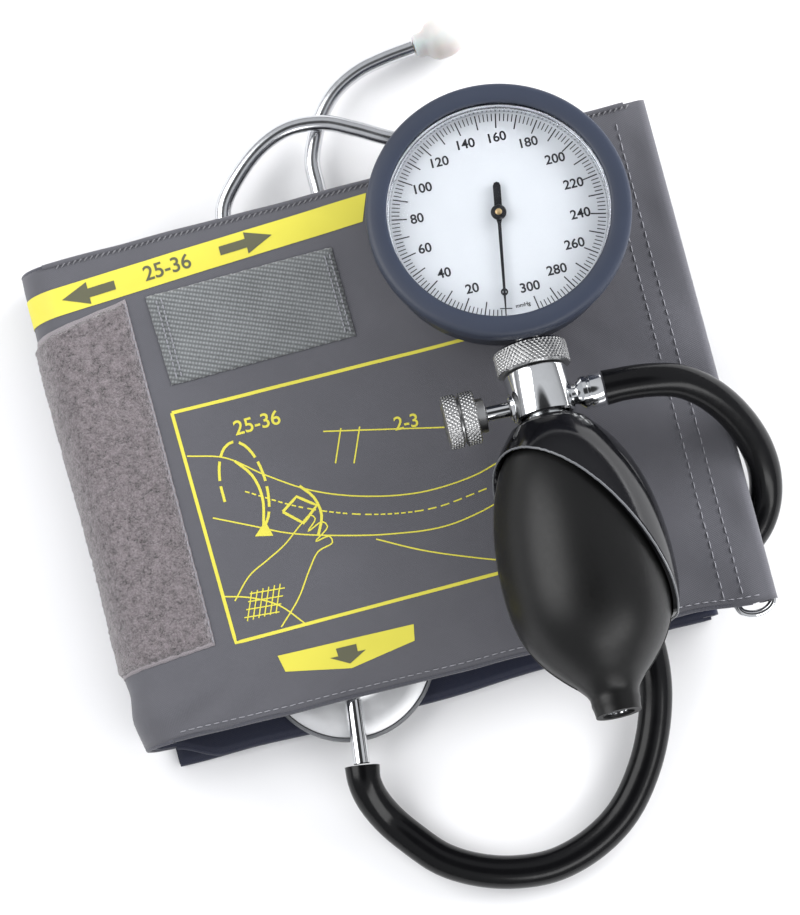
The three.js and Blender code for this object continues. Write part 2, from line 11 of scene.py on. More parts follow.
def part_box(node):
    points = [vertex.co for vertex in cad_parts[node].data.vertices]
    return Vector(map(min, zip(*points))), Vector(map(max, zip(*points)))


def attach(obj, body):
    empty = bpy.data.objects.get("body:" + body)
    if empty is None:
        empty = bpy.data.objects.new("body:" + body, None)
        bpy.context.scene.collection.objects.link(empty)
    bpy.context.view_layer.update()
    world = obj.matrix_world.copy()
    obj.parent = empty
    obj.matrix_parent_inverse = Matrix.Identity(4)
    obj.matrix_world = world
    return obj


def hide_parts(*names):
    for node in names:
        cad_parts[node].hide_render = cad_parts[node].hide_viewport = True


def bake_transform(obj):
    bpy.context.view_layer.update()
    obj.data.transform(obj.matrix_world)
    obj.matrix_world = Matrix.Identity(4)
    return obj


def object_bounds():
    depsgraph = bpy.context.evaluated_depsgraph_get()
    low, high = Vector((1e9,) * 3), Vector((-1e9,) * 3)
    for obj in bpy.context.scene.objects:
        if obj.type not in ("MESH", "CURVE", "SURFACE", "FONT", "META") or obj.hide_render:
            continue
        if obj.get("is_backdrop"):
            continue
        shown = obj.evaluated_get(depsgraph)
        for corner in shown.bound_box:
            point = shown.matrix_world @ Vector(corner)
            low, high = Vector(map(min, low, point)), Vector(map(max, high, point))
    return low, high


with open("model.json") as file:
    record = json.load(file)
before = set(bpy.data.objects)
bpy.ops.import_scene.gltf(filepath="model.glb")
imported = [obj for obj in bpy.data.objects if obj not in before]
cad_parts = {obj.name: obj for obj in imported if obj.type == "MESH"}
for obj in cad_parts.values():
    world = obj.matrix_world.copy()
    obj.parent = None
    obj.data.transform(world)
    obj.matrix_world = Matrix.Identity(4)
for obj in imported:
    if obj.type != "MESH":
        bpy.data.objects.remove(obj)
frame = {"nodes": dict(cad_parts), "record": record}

CAD_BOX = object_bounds()
MM = 0.001
random.seed(7)

# ---- the hand unit's own frame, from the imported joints: +Y to the gauge, +Z out of the dial ----
JOINTS = {j["name"]: j for j in frame["record"]["behaviour"]["joints"]}
UNIT_Y = Vector(JOINTS["collar_turn"]["axis"]).normalized()
UNIT_Z = -Vector(JOINTS["needle_turn"]["axis"]).normalized()
UNIT_X = UNIT_Y.cross(UNIT_Z)
HUB = Vector(JOINTS["needle_turn"]["pos_m"])
UNIT = Matrix.Translation(HUB) @ Matrix((UNIT_X, UNIT_Y, UNIT_Z)).transposed().to_4x4()

# ---- driving sizes, millimetres ----
HALF_WIDTH = 73.4
FOLD_X, FOLD_Z, FOLD_R = -85.35, 11.85, 9.15
HEM_X = 92.3
SCALE_TOP, SCALE_SWEEP, SCALE_GAP = 300, 341.7, 18.3


def linked(name, data):
    obj = bpy.data.objects.new(name, data)
    bpy.context.collection.objects.link(obj)
    return obj


def fill_ramp(node, stops):
    """Sets a colour ramp node's stops, each a place and a colour."""
    elements = node.color_ramp.elements
    while len(elements) < len(stops):
        elements.new(0.5)
    for element, (place, color) in zip(elements, stops):
        element.position = place
        element.color = (*color, 1)


# ---- camera ----
def make_camera():
    turn, tilt, distance = radians(15.2), radians(8), 1.1
    pixels_per_metre, picture_width = 3450, 800
    up = Vector((sin(turn), cos(turn), 0))
    right = Vector((cos(turn), -sin(turn), 0))
    back = -up * sin(tilt) + Vector((0, 0, cos(tilt)))
    target = Vector((-1.1, -8.2, 21)) * MM
    data = bpy.data.cameras.new("camera")
    data.sensor_fit = "HORIZONTAL"
    data.sensor_width = 36
    data.lens = data.sensor_width * pixels_per_metre * distance / picture_width
    data.clip_start = 0.05
    camera = linked("camera", data)
    camera.matrix_world = Matrix.Translation(target + back * distance) @ Matrix(
        (right, back.cross(right), back)
    ).transposed().to_4x4()
    bpy.context.scene.camera = camera


make_camera()


# ---- material helpers ----
class Nodes:
    """Short calls for a material's node tree; every value is a socket or a number."""

    def __init__(self, name, color, rough, metal=0.0, **sockets):
        self.mat = bpy.data.materials.new(name)
        self.mat.use_nodes = True
        self.tree = self.mat.node_tree
        self.shader = self.tree.nodes["Principled BSDF"]
        self.set(self.shader, "Base Color", (*color, 1) if len(color) == 3 else color)
        self.set(self.shader, "Roughness", rough)
        self.set(self.shader, "Metallic", metal)
        for key, value in sockets.items():
            self.set(self.shader, key.replace("_", " "), value)
        self.coords = self.tree.nodes.new("ShaderNodeTexCoord").outputs["Object"]

    def set(self, node, key, value):
        if hasattr(value, "is_linked"):
            self.tree.links.new(value, node.inputs[key])
        else:
            node.inputs[key].default_value = value

    def math(self, op, a, b=0.0, c=0.0):
        node = self.tree.nodes.new("ShaderNodeMath")
        node.operation = op
        for i, value in enumerate((a, b, c)):
            self.set(node, i, value)
        return node.outputs[0]

    def mix(self, *parts):
        """The weighted sum of (value, weight) parts."""
        total, *rest = [self.math("MULTIPLY", value, weight) for value, weight in parts]
        for part in rest:
            total = self.math("ADD", total, part)
        return total

    def xyz(self, vector):
        node = self.tree.nodes.new("ShaderNodeSeparateXYZ")
        self.set(node, 0, vector)
        return node.outputs

    def noise(self, scale, detail=3.0, rough=0.5):
        node = self.tree.nodes.new("ShaderNodeTexNoise")
        self.set(node, "Vector", self.coords)
        for key, value in (("Scale", scale), ("Detail", detail), ("Roughness", rough)):
            node.inputs[key].default_value = value
        return node.outputs["Fac"]

    def tint(self, fac, *stops):
        """Colours the base from a ramp over fac."""
        node = self.tree.nodes.new("ShaderNodeValToRGB")
        self.set(node, "Fac", fac)
        fill_ramp(node, stops)
        self.set(self.shader, "Base Color", node.outputs["Color"])

    def bump(self, height, distance, strength=1.0):
        node = self.tree.nodes.new("ShaderNodeBump")
        self.set(node, "Height", height)
        node.inputs["Distance"].default_value = distance
        node.inputs["Strength"].default_value = strength
        previous = self.shader.inputs["Normal"]
        if previous.is_linked:
            self.set(node, "Normal", previous.links[0].from_socket)
        self.set(self.shader, "Normal", node.outputs[0])


def shade(color, k):
    return tuple(min(1.0, c * k) for c in color)


# ---- materials ----
def woven(name, color, threads, rough=0.8, depth=0.00006):
    """Plain weave: warp and weft ridges, slow blotches and a faint sheen."""
    n = Nodes(name, color, rough, Sheen_Weight=0.25, Sheen_Roughness=0.5)
    x, y, z = n.xyz(n.coords)
    warp = n.math("SINE", n.math("MULTIPLY", n.math("ADD", x, z), threads))
    weft = n.math("SINE", n.math("MULTIPLY", y, threads))
    weave = n.math("MULTIPLY_ADD", n.math("MULTIPLY", warp, weft), 0.5, 0.5)
    slub = n.noise(900, 2)
    blotch = n.noise(24, 4, 0.6)
    tone = n.mix((weave, 0.3), (slub, 0.3), (blotch, 0.5))
    n.tint(tone, (0.3, shade(color, 0.8)), (0.6, color), (0.85, shade(color, 1.2)))
    n.set(n.shader, "Roughness", n.math("MULTIPLY_ADD", slub, 0.2, rough - 0.1))
    n.bump(weave, depth, 0.7)
    n.bump(n.noise(160, 3), 0.0004, 0.25)
    n.bump(n.noise(45, 2), 0.0014, 0.22)
    return n.mat


def twill(name, color):
    """Coarse webbing: slanting rows of raised thread loops; the colour follows their height, with painted
    shade in the gaps between them and the loops painted lighter.
    """
    n = Nodes(name, color, 0.85, Sheen_Weight=0.3)
    x, y, z = n.xyz(n.coords)
    along = n.math("MULTIPLY", n.math("ADD", n.math("MULTIPLY", x, 0.42), y), tau / 0.00135)
    across = n.math("MULTIPLY", n.math("SUBTRACT", x, n.math("MULTIPLY", y, 0.5)), tau / 0.00105)
    rows = n.math("MULTIPLY_ADD", n.math("SINE", along), 0.5, 0.5)
    loops = n.math("MULTIPLY_ADD", n.math("SINE", across), 0.5, 0.5)
    height = n.math("MULTIPLY", rows, n.math("MULTIPLY_ADD", loops, 0.7, 0.3))
    grain = n.noise(1500, 3)
    patchy = n.noise(90, 3)
    tone = n.mix((height, 0.5), (grain, 0.3), (patchy, 0.2))
    # painted shade in the low gaps and painted light on the raised loops: the ramp follows the bump
    # height
    n.tint(tone, (0.22, shade(color, 0.55)), (0.45, color), (0.75, shade(color, 1.6)))
    n.bump(height, 0.00025, 0.8)
    n.bump(grain, 0.0001, 0.6)
    return n.mat


def fuzzy(name, color):
    """Loop pile: fine fibres in clumps; the colour follows their height, with painted shade in the
    hollows where the backing shows and the clumps painted lighter.
    """
    n = Nodes(name, color, 0.95, Sheen_Weight=0.6, Sheen_Roughness=0.4)
    fine = n.noise(1700, 5, 0.75)
    clumps = n.noise(520, 4, 0.7)
    tone = n.mix((fine, 0.6), (clumps, 0.4))
    # painted shade in the hollows and painted light on the raised fibres, from the same noises as the
    # bumps
    n.tint(tone, (0.39, shade(color, 0.25)), (0.47, shade(color, 0.85)), (0.6, shade(color, 1.45)))
    n.bump(clumps, 0.0012, 0.7)
    n.bump(fine, 0.0007, 1.0)
    return n.mat


def metal(name, color, rough, grain=0.02):
    """Metal with faint wear in its gloss and tone."""
    n = Nodes(name, color, rough, 1.0)
    wear = n.noise(180, 5, 0.65)
    n.set(n.shader, "Roughness", n.math("MULTIPLY_ADD", wear, grain * 3, rough - grain))
    n.tint(wear, (0.3, shade(color, 0.93)), (0.7, color))
    n.bump(n.noise(2500, 2), 0.000004, 0.3)
    return n.mat


def moulded(name, color, rough, grain=900, depth=0.00004, spread=0.12, **sockets):
    """Moulded plastic or rubber: fine skin grain, uneven gloss and slight tone drift."""
    n = Nodes(name, color, rough, **sockets)
    skin = n.noise(grain, 3, 0.6)
    drift = n.noise(35, 3)
    n.tint(drift, (0.3, shade(color, 1 - spread)), (0.7, shade(color, 1 + spread)))
    n.set(n.shader, "Roughness", n.math("MULTIPLY_ADD", skin, 0.16, rough - 0.08))
    n.bump(skin, depth, 0.4)
    return n.mat


GREY = (0.093, 0.093, 0.107)
NAVY = (0.005, 0.008, 0.028)
YELLOW = (0.68, 0.62, 0.07)
M = {
    "grey": woven("grey_nylon", GREY, 9000),
    "navy": woven("navy_nylon", NAVY, 8000, 0.7),
    "binding": woven("binding_tape", (0.066, 0.067, 0.084), 5200, 0.8, 0.00012),
    "thread": woven("sewing_thread", (0.28, 0.28, 0.31), 15000, 0.7, 0.00003),
    "edge_thread": woven("edge_thread", (0.17, 0.17, 0.185), 15000, 0.7, 0.00003),
    "webbing": twill("webbing_weave", (0.175, 0.185, 0.19)),
    "selvedge": woven("pile_selvedge", (0.26, 0.235, 0.25), 7000, 0.85, 0.00008),
    "fuzz": fuzzy("loop_pile", (0.2, 0.175, 0.185)),
    "print": moulded("yellow_ink", YELLOW, 0.6, 1800, 0.00003, 0.06),
    "ink_dark": moulded("grey_ink", (0.10, 0.10, 0.06), 0.6, 1800, 0.00002),
    "chrome": metal("polished_chrome", (0.86, 0.87, 0.88), 0.07),
    "knurl": metal("knurled_chrome", (0.5, 0.5, 0.5), 0.3, 0.05),
    "tube_metal": metal("brushed_tube", (0.74, 0.75, 0.77), 0.2, 0.06),
    "brass": metal("satin_brass", (0.72, 0.53, 0.27), 0.3, 0.05),
    "silver": metal("silver_ring", (0.8, 0.81, 0.83), 0.22, 0.04),
    "chest": metal("satin_alloy", (0.76, 0.765, 0.775), 0.5, 0.05),
    "bumper": moulded("slate_elastomer", (0.024, 0.031, 0.052), 0.5, 1400, 0.00003, 0.08),
    "case": moulded("dark_enamel", (0.02, 0.024, 0.04), 0.35, 700, 0.00001),
    "dial": moulded("white_enamel", (0.63, 0.65, 0.665), 0.5, 700, 0.000006, 0.015),
    "ink": moulded("black_ink", (0.012, 0.012, 0.016), 0.5, 900, 0.000004),
    "needle": moulded("needle_black", (0.006, 0.006, 0.008), 0.35, 900, 0.000004),
    "rubber": moulded("bulb_rubber", (0.003, 0.003, 0.003), 0.4, 800, 0.00003, 0.15,
                      Specular_IOR_Level=0.34),
    "hose": moulded("hose_rubber", (0.003, 0.003, 0.0035), 0.22, 600, 0.00004, 0.15,
                    Specular_IOR_Level=0.24),
    "guard": moulded("gloss_guard", (0.004, 0.004, 0.005), 0.12, 300, 0.00001, 0.1,
                     Specular_IOR_Level=0.35),
    # a lighter grey for the bead on the guard's cut edge: a painted highlight, standing for the edge's
    # reflection
    "guard_edge": moulded("cut_edge_painted_highlight", (0.14, 0.145, 0.155), 0.22, 300, 0.00001, 0.1),
    "film": moulded("diaphragm_film", (0.7, 0.69, 0.65), 0.35, 900, 0.00001, 0.03),
    "rim": moulded("grey_rim", (0.14, 0.145, 0.155), 0.4, 800, 0.00002),
    "tip": moulded("ear_tip_white", (0.56, 0.56, 0.555), 0.4, 300, 0.00002, 0.03, Subsurface_Weight=0.25),
    "lens": Nodes("clear_lens", (0.97, 0.98, 1), 0.02, Transmission_Weight=1.0, IOR=1.08).mat,
}


# ---- geometry helpers ----
def piece(name, verts, faces, mat, body, slot, replaced=(), unit=False, sharp=35):
    """A mesh object from millimetre vertices, with, if one is given, a body to ride; the slot argument is
    not used.
    """
    place = UNIT if unit else Matrix.Identity(4)
    mesh = bpy.data.meshes.new(name)
    mesh.from_pydata([place @ (Vector(v) * MM) for v in verts], [], faces)
    bm = bmesh.new()
    bm.from_mesh(mesh)
    bmesh.ops.remove_doubles(bm, verts=bm.verts, dist=1e-7)
    bmesh.ops.recalc_face_normals(bm, faces=bm.faces)
    bm.to_mesh(mesh)
    bm.free()
    mesh.shade_smooth()
    mesh.set_sharp_from_angle(angle=radians(sharp))
    mesh.materials.append(M[mat])
    obj = linked(name, mesh)
    if body:
        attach(obj, body)
    if replaced:
        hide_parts(*replaced)
    return obj


def thicken(obj, thickness, offset=-1):
    modifier = obj.modifiers.new("thickness", "SOLIDIFY")
    modifier.thickness = thickness * MM
    modifier.offset = offset


def set_down(points, turn, at=(0, 0, 0)):
    """Points turned about Z and then moved to a place."""
    c, s = cos(turn), sin(turn)
    return [(at[0] + x * c - y * s, at[1] + x * s + y * c, at[2] + z) for x, y, z in points]


def grid(rows, columns, point, wrap=False):
    """Vertices and quads of point(i, j) for i in rows and j in columns; wrap closes the columns."""
    verts = [point(i, j) for i in range(rows) for j in range(columns)]
    faces = []
    for i in range(rows - 1):
        for j in range(columns if wrap else columns - 1):
            k = (j + 1) % columns
            faces.append((i * columns + j, i * columns + k, (i + 1) * columns + k, (i + 1) * columns + j))
    return verts, faces


AXES = {
    "x": lambda r, h, a: (h, r * cos(a), r * sin(a)),
    "y": lambda r, h, a: (r * sin(a), h, r * cos(a)),
    "z": lambda r, h, a: (r * cos(a), r * sin(a), h),
}


def knurl(angle, height, count, pitch):
    a = (angle / tau * count + height / pitch) % 1
    b = (angle / tau * count - height / pitch) % 1
    return min(1 - abs(2 * a - 1), 1 - abs(2 * b - 1))


def turned(profile, axis="z", sides=96, centre=(0, 0, 0), knurls=0, pitch=1.0):
    """A turned solid from (radius, height[, knurl depth]) rows; one off the axis closes on itself."""
    rows = [tuple(p) + (0,) * (3 - len(p)) for p in profile]
    if rows[0][0] > 0:
        rows.append(rows[0])
    out = AXES[axis]

    def point(i, j):
        r, h, depth = rows[i]
        a = tau * j / sides
        if depth:
            r += depth * (knurl(a, h, knurls, pitch) - 0.6)
        return tuple(c + d for c, d in zip(centre, out(max(r, 1e-6), h, a)))

    return grid(len(rows), sides, point, wrap=True)


def merged(*shapes):
    verts, faces = [], []
    for v, f in shapes:
        base = len(verts)
        verts += v
        faces += [tuple(i + base for i in face) for face in f]
    return verts, faces


def smooth_path(points, step=1.5):
    """Points at even steps on a centripetal Catmull-Rom curve through the given ones."""
    p = [Vector(q) for q in points]
    p = [p[0] * 2 - p[1], *p, p[-1] * 2 - p[-2]]
    out = []
    for a, b, c, d in zip(p, p[1:], p[2:], p[3:]):
        t1 = (b - a).length ** 0.5
        t2 = t1 + (c - b).length ** 0.5
        t3 = t2 + (d - c).length ** 0.5
        count = max(1, round((c - b).length / step))
        for i in range(count):
            t = t1 + (t2 - t1) * i / count
            a1 = a * ((t1 - t) / t1) + b * (t / t1)
            a2 = b * ((t2 - t) / (t2 - t1)) + c * ((t - t1) / (t2 - t1))
            a3 = c * ((t3 - t) / (t3 - t2)) + d * ((t - t2) / (t3 - t2))
            b1 = a1 * ((t2 - t) / t2) + a2 * (t / t2)
            b2 = a2 * ((t3 - t) / (t3 - t1)) + a3 * ((t - t1) / (t3 - t1))
            out.append(b1 * ((t2 - t) / (t2 - t1)) + b2 * ((t - t1) / (t2 - t1)))
    return [*out, p[-2]]


def sweep(points, radius, sides=16, flat=1.0, closed=False):
    """A capped round tube along points; radius is a number or a function of the place from 0 to 1."""
    count = len(points)
    side = None
    rings = []
    for i, p in enumerate(points):
        before = points[i - 1] if closed or i else p
        after = points[(i + 1) % count] if closed or i + 1 < count else p
        ahead = (Vector(after) - Vector(before)).normalized()
        if side is None:
            side = ahead.cross(Vector((0, 0, 1)))
            if side.length < 0.1:
                side = ahead.cross(Vector((1, 0, 0)))
        side = (side - ahead * side.dot(ahead)).normalized()
        lift = side.cross(ahead)
        r = radius(i / (count - 1)) if callable(radius) else radius
        rings.append((Vector(p), side * r, lift * r * flat))
    turn = tau / sides

    def point(i, j):
        p, s, u = rings[i % count]
        return tuple(p + s * cos(turn * j) + u * sin(turn * j))

    verts, faces = grid(count + (1 if closed else 0), sides, point, wrap=True)
    if not closed:
        faces += [tuple(range(sides)), tuple(range((count - 1) * sides, count * sides))]
    return verts, faces


# ---- cords, first ----
HOSE_ROUTE = [
    (59.65, -6.89, 41.4), (66, -7.2, 41.5), (73.5, -8.2, 41), (80.5, -10, 39.2), (87, -13.8, 35.6),
    (92.6, -19.2, 30.8), (97, -25.8, 25.2), (99.8, -33, 19.4), (100.4, -40.2, 14.6),
    (98.6, -47.4, 11.4), (94.4, -53.6, 10.3), (88, -57.8, 10.1), (80.5, -58.2, 10.1),
    (74, -54.6, 10.1), (69.8, -47.5, 10.2), (67.6, -38, 10.3), (66.4, -25, 10.4), (65, -10, 10.4),
    (62, 5, 10.4), (57, 19, 10.4), (50.6, 32, 10.4), (42.6, 43.6, 10.4), (34, 51.4, 10.4),
    (29.4, 53.6, 10.4), (24.7, 54, 10.4),
]
SCOPE_ROUTE = [
    (-34.92, -91.1, 12.7), (-35.45, -95.2, 12.6), (-34.6, -100.5, 10.2), (-31.4, -107.5, 6.6),
    (-26.4, -114.6, 5.1), (-19.3, -122.7, 4.95), (-9.7, -128.6, 4.95), (1, -132, 4.95),
    (12, -132.8, 4.95), (24.2, -129.7, 4.95), (35, -123.2, 4.95), (44.5, -112, 5.4), (51, -99, 7.4),
    (54.2, -86, 9.8), (54.2, -72, 10.4), (50.5, -57, 10.4), (43, -43.5, 10.4), (32.5, -32, 10.4),
    (20, -23, 10.4), (7.5, -15, 10.4), (-3, -6, 10.4), (-9.9, 4, 10.4), (-11.9, 12, 10.4),
    (-12, 17.3, 10.4),
]


def length_of(points):
    return sum((b - a).length for a, b in zip(points, points[1:]))


def make_cord(name, route, diameter, node, body):
    path = smooth_path(route)
    mouth = lambda t: diameter / 2 * (1 + 0.05 * max(0, 1 - 60 * t))
    obj = piece(name, *sweep(path, mouth, 28), "hose", body, "black_rubber", [node])
    round(length_of(path) * MM, 4)
    return obj


hose = make_cord("air_hose_tube", HOSE_ROUTE, 9.7, "air_hose", None)
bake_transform(hose)
make_cord("scope_tube", SCOPE_ROUTE, 9.7, "stethoscope_tube", "cuff")


# ---- cuff ----
class Strip:
    """The cuff's folded path in X and Z as lines and arcs; at(s) gives the place and the normal."""

    def __init__(self, *runs):
        self.runs = []
        self.length = 0
        for run in runs:
            if len(run) == 4:
                (x0, z0, x1, z1) = run
                size = hypot(x1 - x0, z1 - z0)
            else:
                size = abs(radians(run[4] - run[3])) * run[2]
            self.runs.append((self.length, size, run))
            self.length += size

    def at(self, s, flip=1):
        start, size, run = next((r for r in reversed(self.runs) if s >= r[0]), self.runs[0])
        t = min(1, (s - start) / size)
        if len(run) == 4:
            x0, z0, x1, z1 = run
            dx, dz = x1 - x0, z1 - z0
            return x0 + dx * t, z0 + dz * t, flip * dz / size, flip * (x0 - x1) / size
        x, z, r, a0, a1 = run
        a = radians(a0 + (a1 - a0) * t)
        sign = flip if a1 > a0 else -flip
        return x + r * cos(a), z + r * sin(a), sign * cos(a), sign * sin(a)


RIGHT_X = 76
OUTER = Strip((HEM_X, 18.5, 2.6, -170, 90), (HEM_X, 21.1, FOLD_X, 21), (FOLD_X, FOLD_Z, FOLD_R, 90, 270),
              (FOLD_X, 2.7, RIGHT_X, 2.7), (RIGHT_X, 2.4, 0.3, 90, -90), (RIGHT_X, 2.1, -86, 2.1))
INNER = Strip((88.3, 18.9, 70.4, 18.9), (70.4, 18.9, 62.4, 16), (62.4, 16, FOLD_X, 16),
              (FOLD_X, 10.4, 5.6, 90, 270), (FOLD_X, 4.8, RIGHT_X, 4.8), (RIGHT_X, 2.4, 2.4, 90, -90),
              (RIGHT_X, 0.05, -86, 0.05))
HEM_ARC = 2.6 * radians(260)
TAIL_TOP = 2.6


def ease(t):
    t = min(1, max(0, t))
    return t * t * (3 - 2 * t)


def wrinkle(u, y):
    """How far the top layer's cloth stands off its flat place at unrolled length u, in millimetres."""
    wide = noise.noise(Vector((u / 46, y / 38, 1.7))) * 0.95
    slant = noise.noise(Vector(((u + y) / 15, (u - 0.6 * y) / 60, 4.2)))
    corner = ease((-y - 35) / 35) * ease((-u - 35) / 45)
    crease = 2.8 * corner * noise.noise(Vector(((u * 0.5 - y) / 8, (u + y) / 34, 9.1)))
    right = 0.9 * ease((u - 55) / 25) * noise.noise(Vector((u / 34, y / 16, 6.3)))
    pucker = 0.14 * noise.noise(Vector((u / 7, y / 5, 3.1)))
    return wide + 0.36 * slant + crease + right + pucker


def edges(x, top):
    """The lowest and highest Y of the cloth at x; the top layer is a little narrower at the left."""
    low = -72.3 - 0.019 * x + 0.5 * noise.noise(Vector((x / 18, 3.3 + top, 0)))
    high = HALF_WIDTH + 0.45 * noise.noise(Vector((x / 22, 8.3 + top, 0)))
    if top:
        low -= 2.0 * ease((x - 66) / 26)
        high += 2.6 * ease((x - 58) / 18)
    return low, high


def cloth_point(strip, s, t, flip=1, lift=0.0):
    """A point on a folded strip, at path length s and from 0 to 1 across its width."""
    x, z, nx, nz = strip.at(s, flip)
    upper = ease((z - 5) / 11)
    low, high = edges(x, round(upper))
    y = low + (high - low) * t
    u = HEM_X + HEM_ARC - s if strip is OUTER else x
    stand = wrinkle(u, y) * upper * ease((HEM_X - x) / 6 + 0.1)
    border = max(0, 1 - min(y - low, high - y) / 11)
    if strip is OUTER:
        stand -= 0.7 * border * border * upper * ease((HEM_X - 4 - x) / 8)
    elif z > 12:
        stand = stand * nz - 2.2 * border * border * ease((70 - x) / 8) * (1 if nz < 0 else 0)
    fold = ease((-72 - x) / 14) if z > 2.4 else 0
    y -= (1 - upper) * (1 - fold) * (5 - 3.8 * ease((x + 20) / 90))
    x += 1.2 * y / HALF_WIDTH * ease((x - 55) / 35)
    return x + nx * (stand + lift), y, max(0.02, z + nz * (stand + lift))


def make_strip(name, strip, mat, slot, node, thickness, flip=1):
    steps = []
    for start, size, run in strip.runs:
        count = max(2, ceil(size / (2 if len(run) == 4 else 0.9)))
        steps += [start + size * i / count for i in range(count)]
    steps.append(strip.length - 0.001)
    across = 90
    shape = grid(len(steps), across + 1, lambda i, j: cloth_point(strip, steps[i], j / across, flip))
    obj = piece(name, *shape, mat, "cuff", slot, [node])
    outward = Vector(strip.at(steps[3], flip)[2:])
    if obj.data.polygons[across * 3].normal.xz.dot(outward) < 0:
        obj.data.flip_normals()
    thicken(obj, thickness)
    return obj


def unrolled(u, y, lift=0.0):
    """A point on the cuff's outside at unrolled length u (which is x on the top layer) and at y."""
    s = HEM_X + HEM_ARC - u
    x, z, nx, nz = OUTER.at(s)
    upper = ease((z - 5) / 11)
    low, high = edges(x, round(upper))
    return cloth_point(OUTER, s, (y - low) / (high - low), 1, lift)


def make_binding(name, strip, s0, s1, t, radius, mat, flat=1.0, inset=0.0, lift=0.0):
    count = round((s1 - s0) / 2)
    path = [Vector(cloth_point(strip, s0 + (s1 - s0) * i / count, t, 1, lift)) for i in range(count + 1)]
    path = [Vector((p.x, p.y + inset, max(p.z, radius))) for p in path]
    return piece(name, *sweep(path, radius, 12, flat), mat, "cuff", "outer_fabric")


def stitches(name, path, pitch, size, radius, mat="thread", slant=0.0, slot="outer_fabric"):
    """Short raised thread stitches along a path of points on the cloth."""
    shapes = []
    travelled, next_at = 0.0, pitch / 2
    for a, b in zip(path, path[1:]):
        gap = (b - a).length
        while travelled + gap > next_at:
            middle = a + (b - a) * ((next_at - travelled) / gap)
            ahead = (b - a).normalized()
            aside = Vector((-ahead.y, ahead.x, 0))
            heading = (ahead + aside * (slant + random.uniform(-0.06, 0.06))).normalized()
            half = size / 2 * random.uniform(0.9, 1.08)
            run = [middle + heading * half * k + Vector((0, 0, radius * (0.9 - 1.5 * k * k))) for k in
                   (-1, -0.7, 0, 0.7, 1)]
            shapes.append(sweep(run, lambda t: radius * (1 - 0.6 * abs(2 * t - 1) ** 3), 6))
            next_at += pitch
        travelled += gap
    return piece(name, *merged(*shapes), mat, "cuff", slot)


def make_cuff_layers():
    outer = make_strip("cuff_outer_cloth", OUTER, "grey", "outer_fabric", "cuff_outer_fabric", 0.8)
    lining = make_strip("cuff_lining_cloth", INNER, "navy", "lining_fabric", "cuff_lining", 0.7, flip=-1)
    # the tail end under the fold shows its navy side
    outer.data.materials.append(M["navy"])
    for face in outer.data.polygons:
        face.material_index = int(face.center.z < TAIL_TOP * MM)
    # side walls close the top layer between the outer cloth and the lining
    for name, t, sign in (("near_edge", 0.0, -1), ("far_edge", 1.0, 1)):

        def point(i, j):
            x = 86 - 171.2 * i / 110
            top = cloth_point(OUTER, HEM_ARC + HEM_X - x, t)
            z_low = 19.2 if x > 70.4 else 18.4
            a = pi * j / 8
            mid, half = (top[2] + z_low) / 2 - 0.15, (top[2] - z_low) / 2 + 0.3
            return x, top[1] + sign * (0.95 * sin(a) - 0.5), mid + half * cos(a)

        piece(f"cuff_{name}_tape", *grid(111, 9, point), "binding", "cuff", "outer_fabric")
    # rolled edges of the lower two layers
    fold_start, fold_end = OUTER.runs[2][0], OUTER.runs[3][0]
    for name, t, inset in (("near", 0.0, 0.2), ("far", 1.0, -0.2)):
        make_binding(f"second_layer_{name}_roll", OUTER, fold_end, fold_end + 158.6,
                     t, 1.2, "navy", 0.8, inset, -1.1)
        make_binding(f"third_layer_{name}_roll", INNER, INNER.runs[6][0], INNER.length - 0.1,
                     t, 1.1, "navy", 0.8, inset, -1.2)
        make_binding(f"fold_{name}_roll", OUTER, fold_start, fold_start + 28.4,
                     t, 0.75, "binding", 1, inset, -0.6)
    make_binding("far_edge_cord", OUTER, HEM_ARC + 4, fold_start + 2, 1.0, 0.8, "grey", 0.8, -0.2, 0.0)


def along(points, step=3.0, lift=0.12):
    """Points on the cloth along straight runs between (u, y) corners."""
    out = []
    for (u0, y0), (u1, y1) in zip(points, points[1:]):
        count = max(1, ceil(hypot(u1 - u0, y1 - y0) / step))
        for i in range(count):
            out.append(Vector(unrolled(u0 + (u1 - u0) * i / count, y0 + (y1 - y0) * i / count, lift)))
    return [*out, Vector(unrolled(*points[-1], lift))]


def make_stitching():
    low = lambda u: edges(u, 1)[0] + 2.0
    high = lambda u: edges(u, 1)[1] - 1.1
    spots = [90 - 6 * i for i in range(30)]
    stitches("near_edge_stitches", along([(u, low(u)) for u in spots]), 2.5, 1.8, 0.16)
    path = along([(u, high(u)) for u in spots])
    stitches("far_edge_whipping", path, 1.7, 1.7, 0.24, "edge_thread", slant=0.9)
    for name, top, bottom in (("outer", 84.9, 84.9), ("inner", 80.2, 79.2)):
        run = [(top + (bottom - top) * k / 8, 71 - 143 * k / 8) for k in range(9)]
        stitches(f"hem_stitches_{name}", along(run), 3.0, 2.2, 0.17)


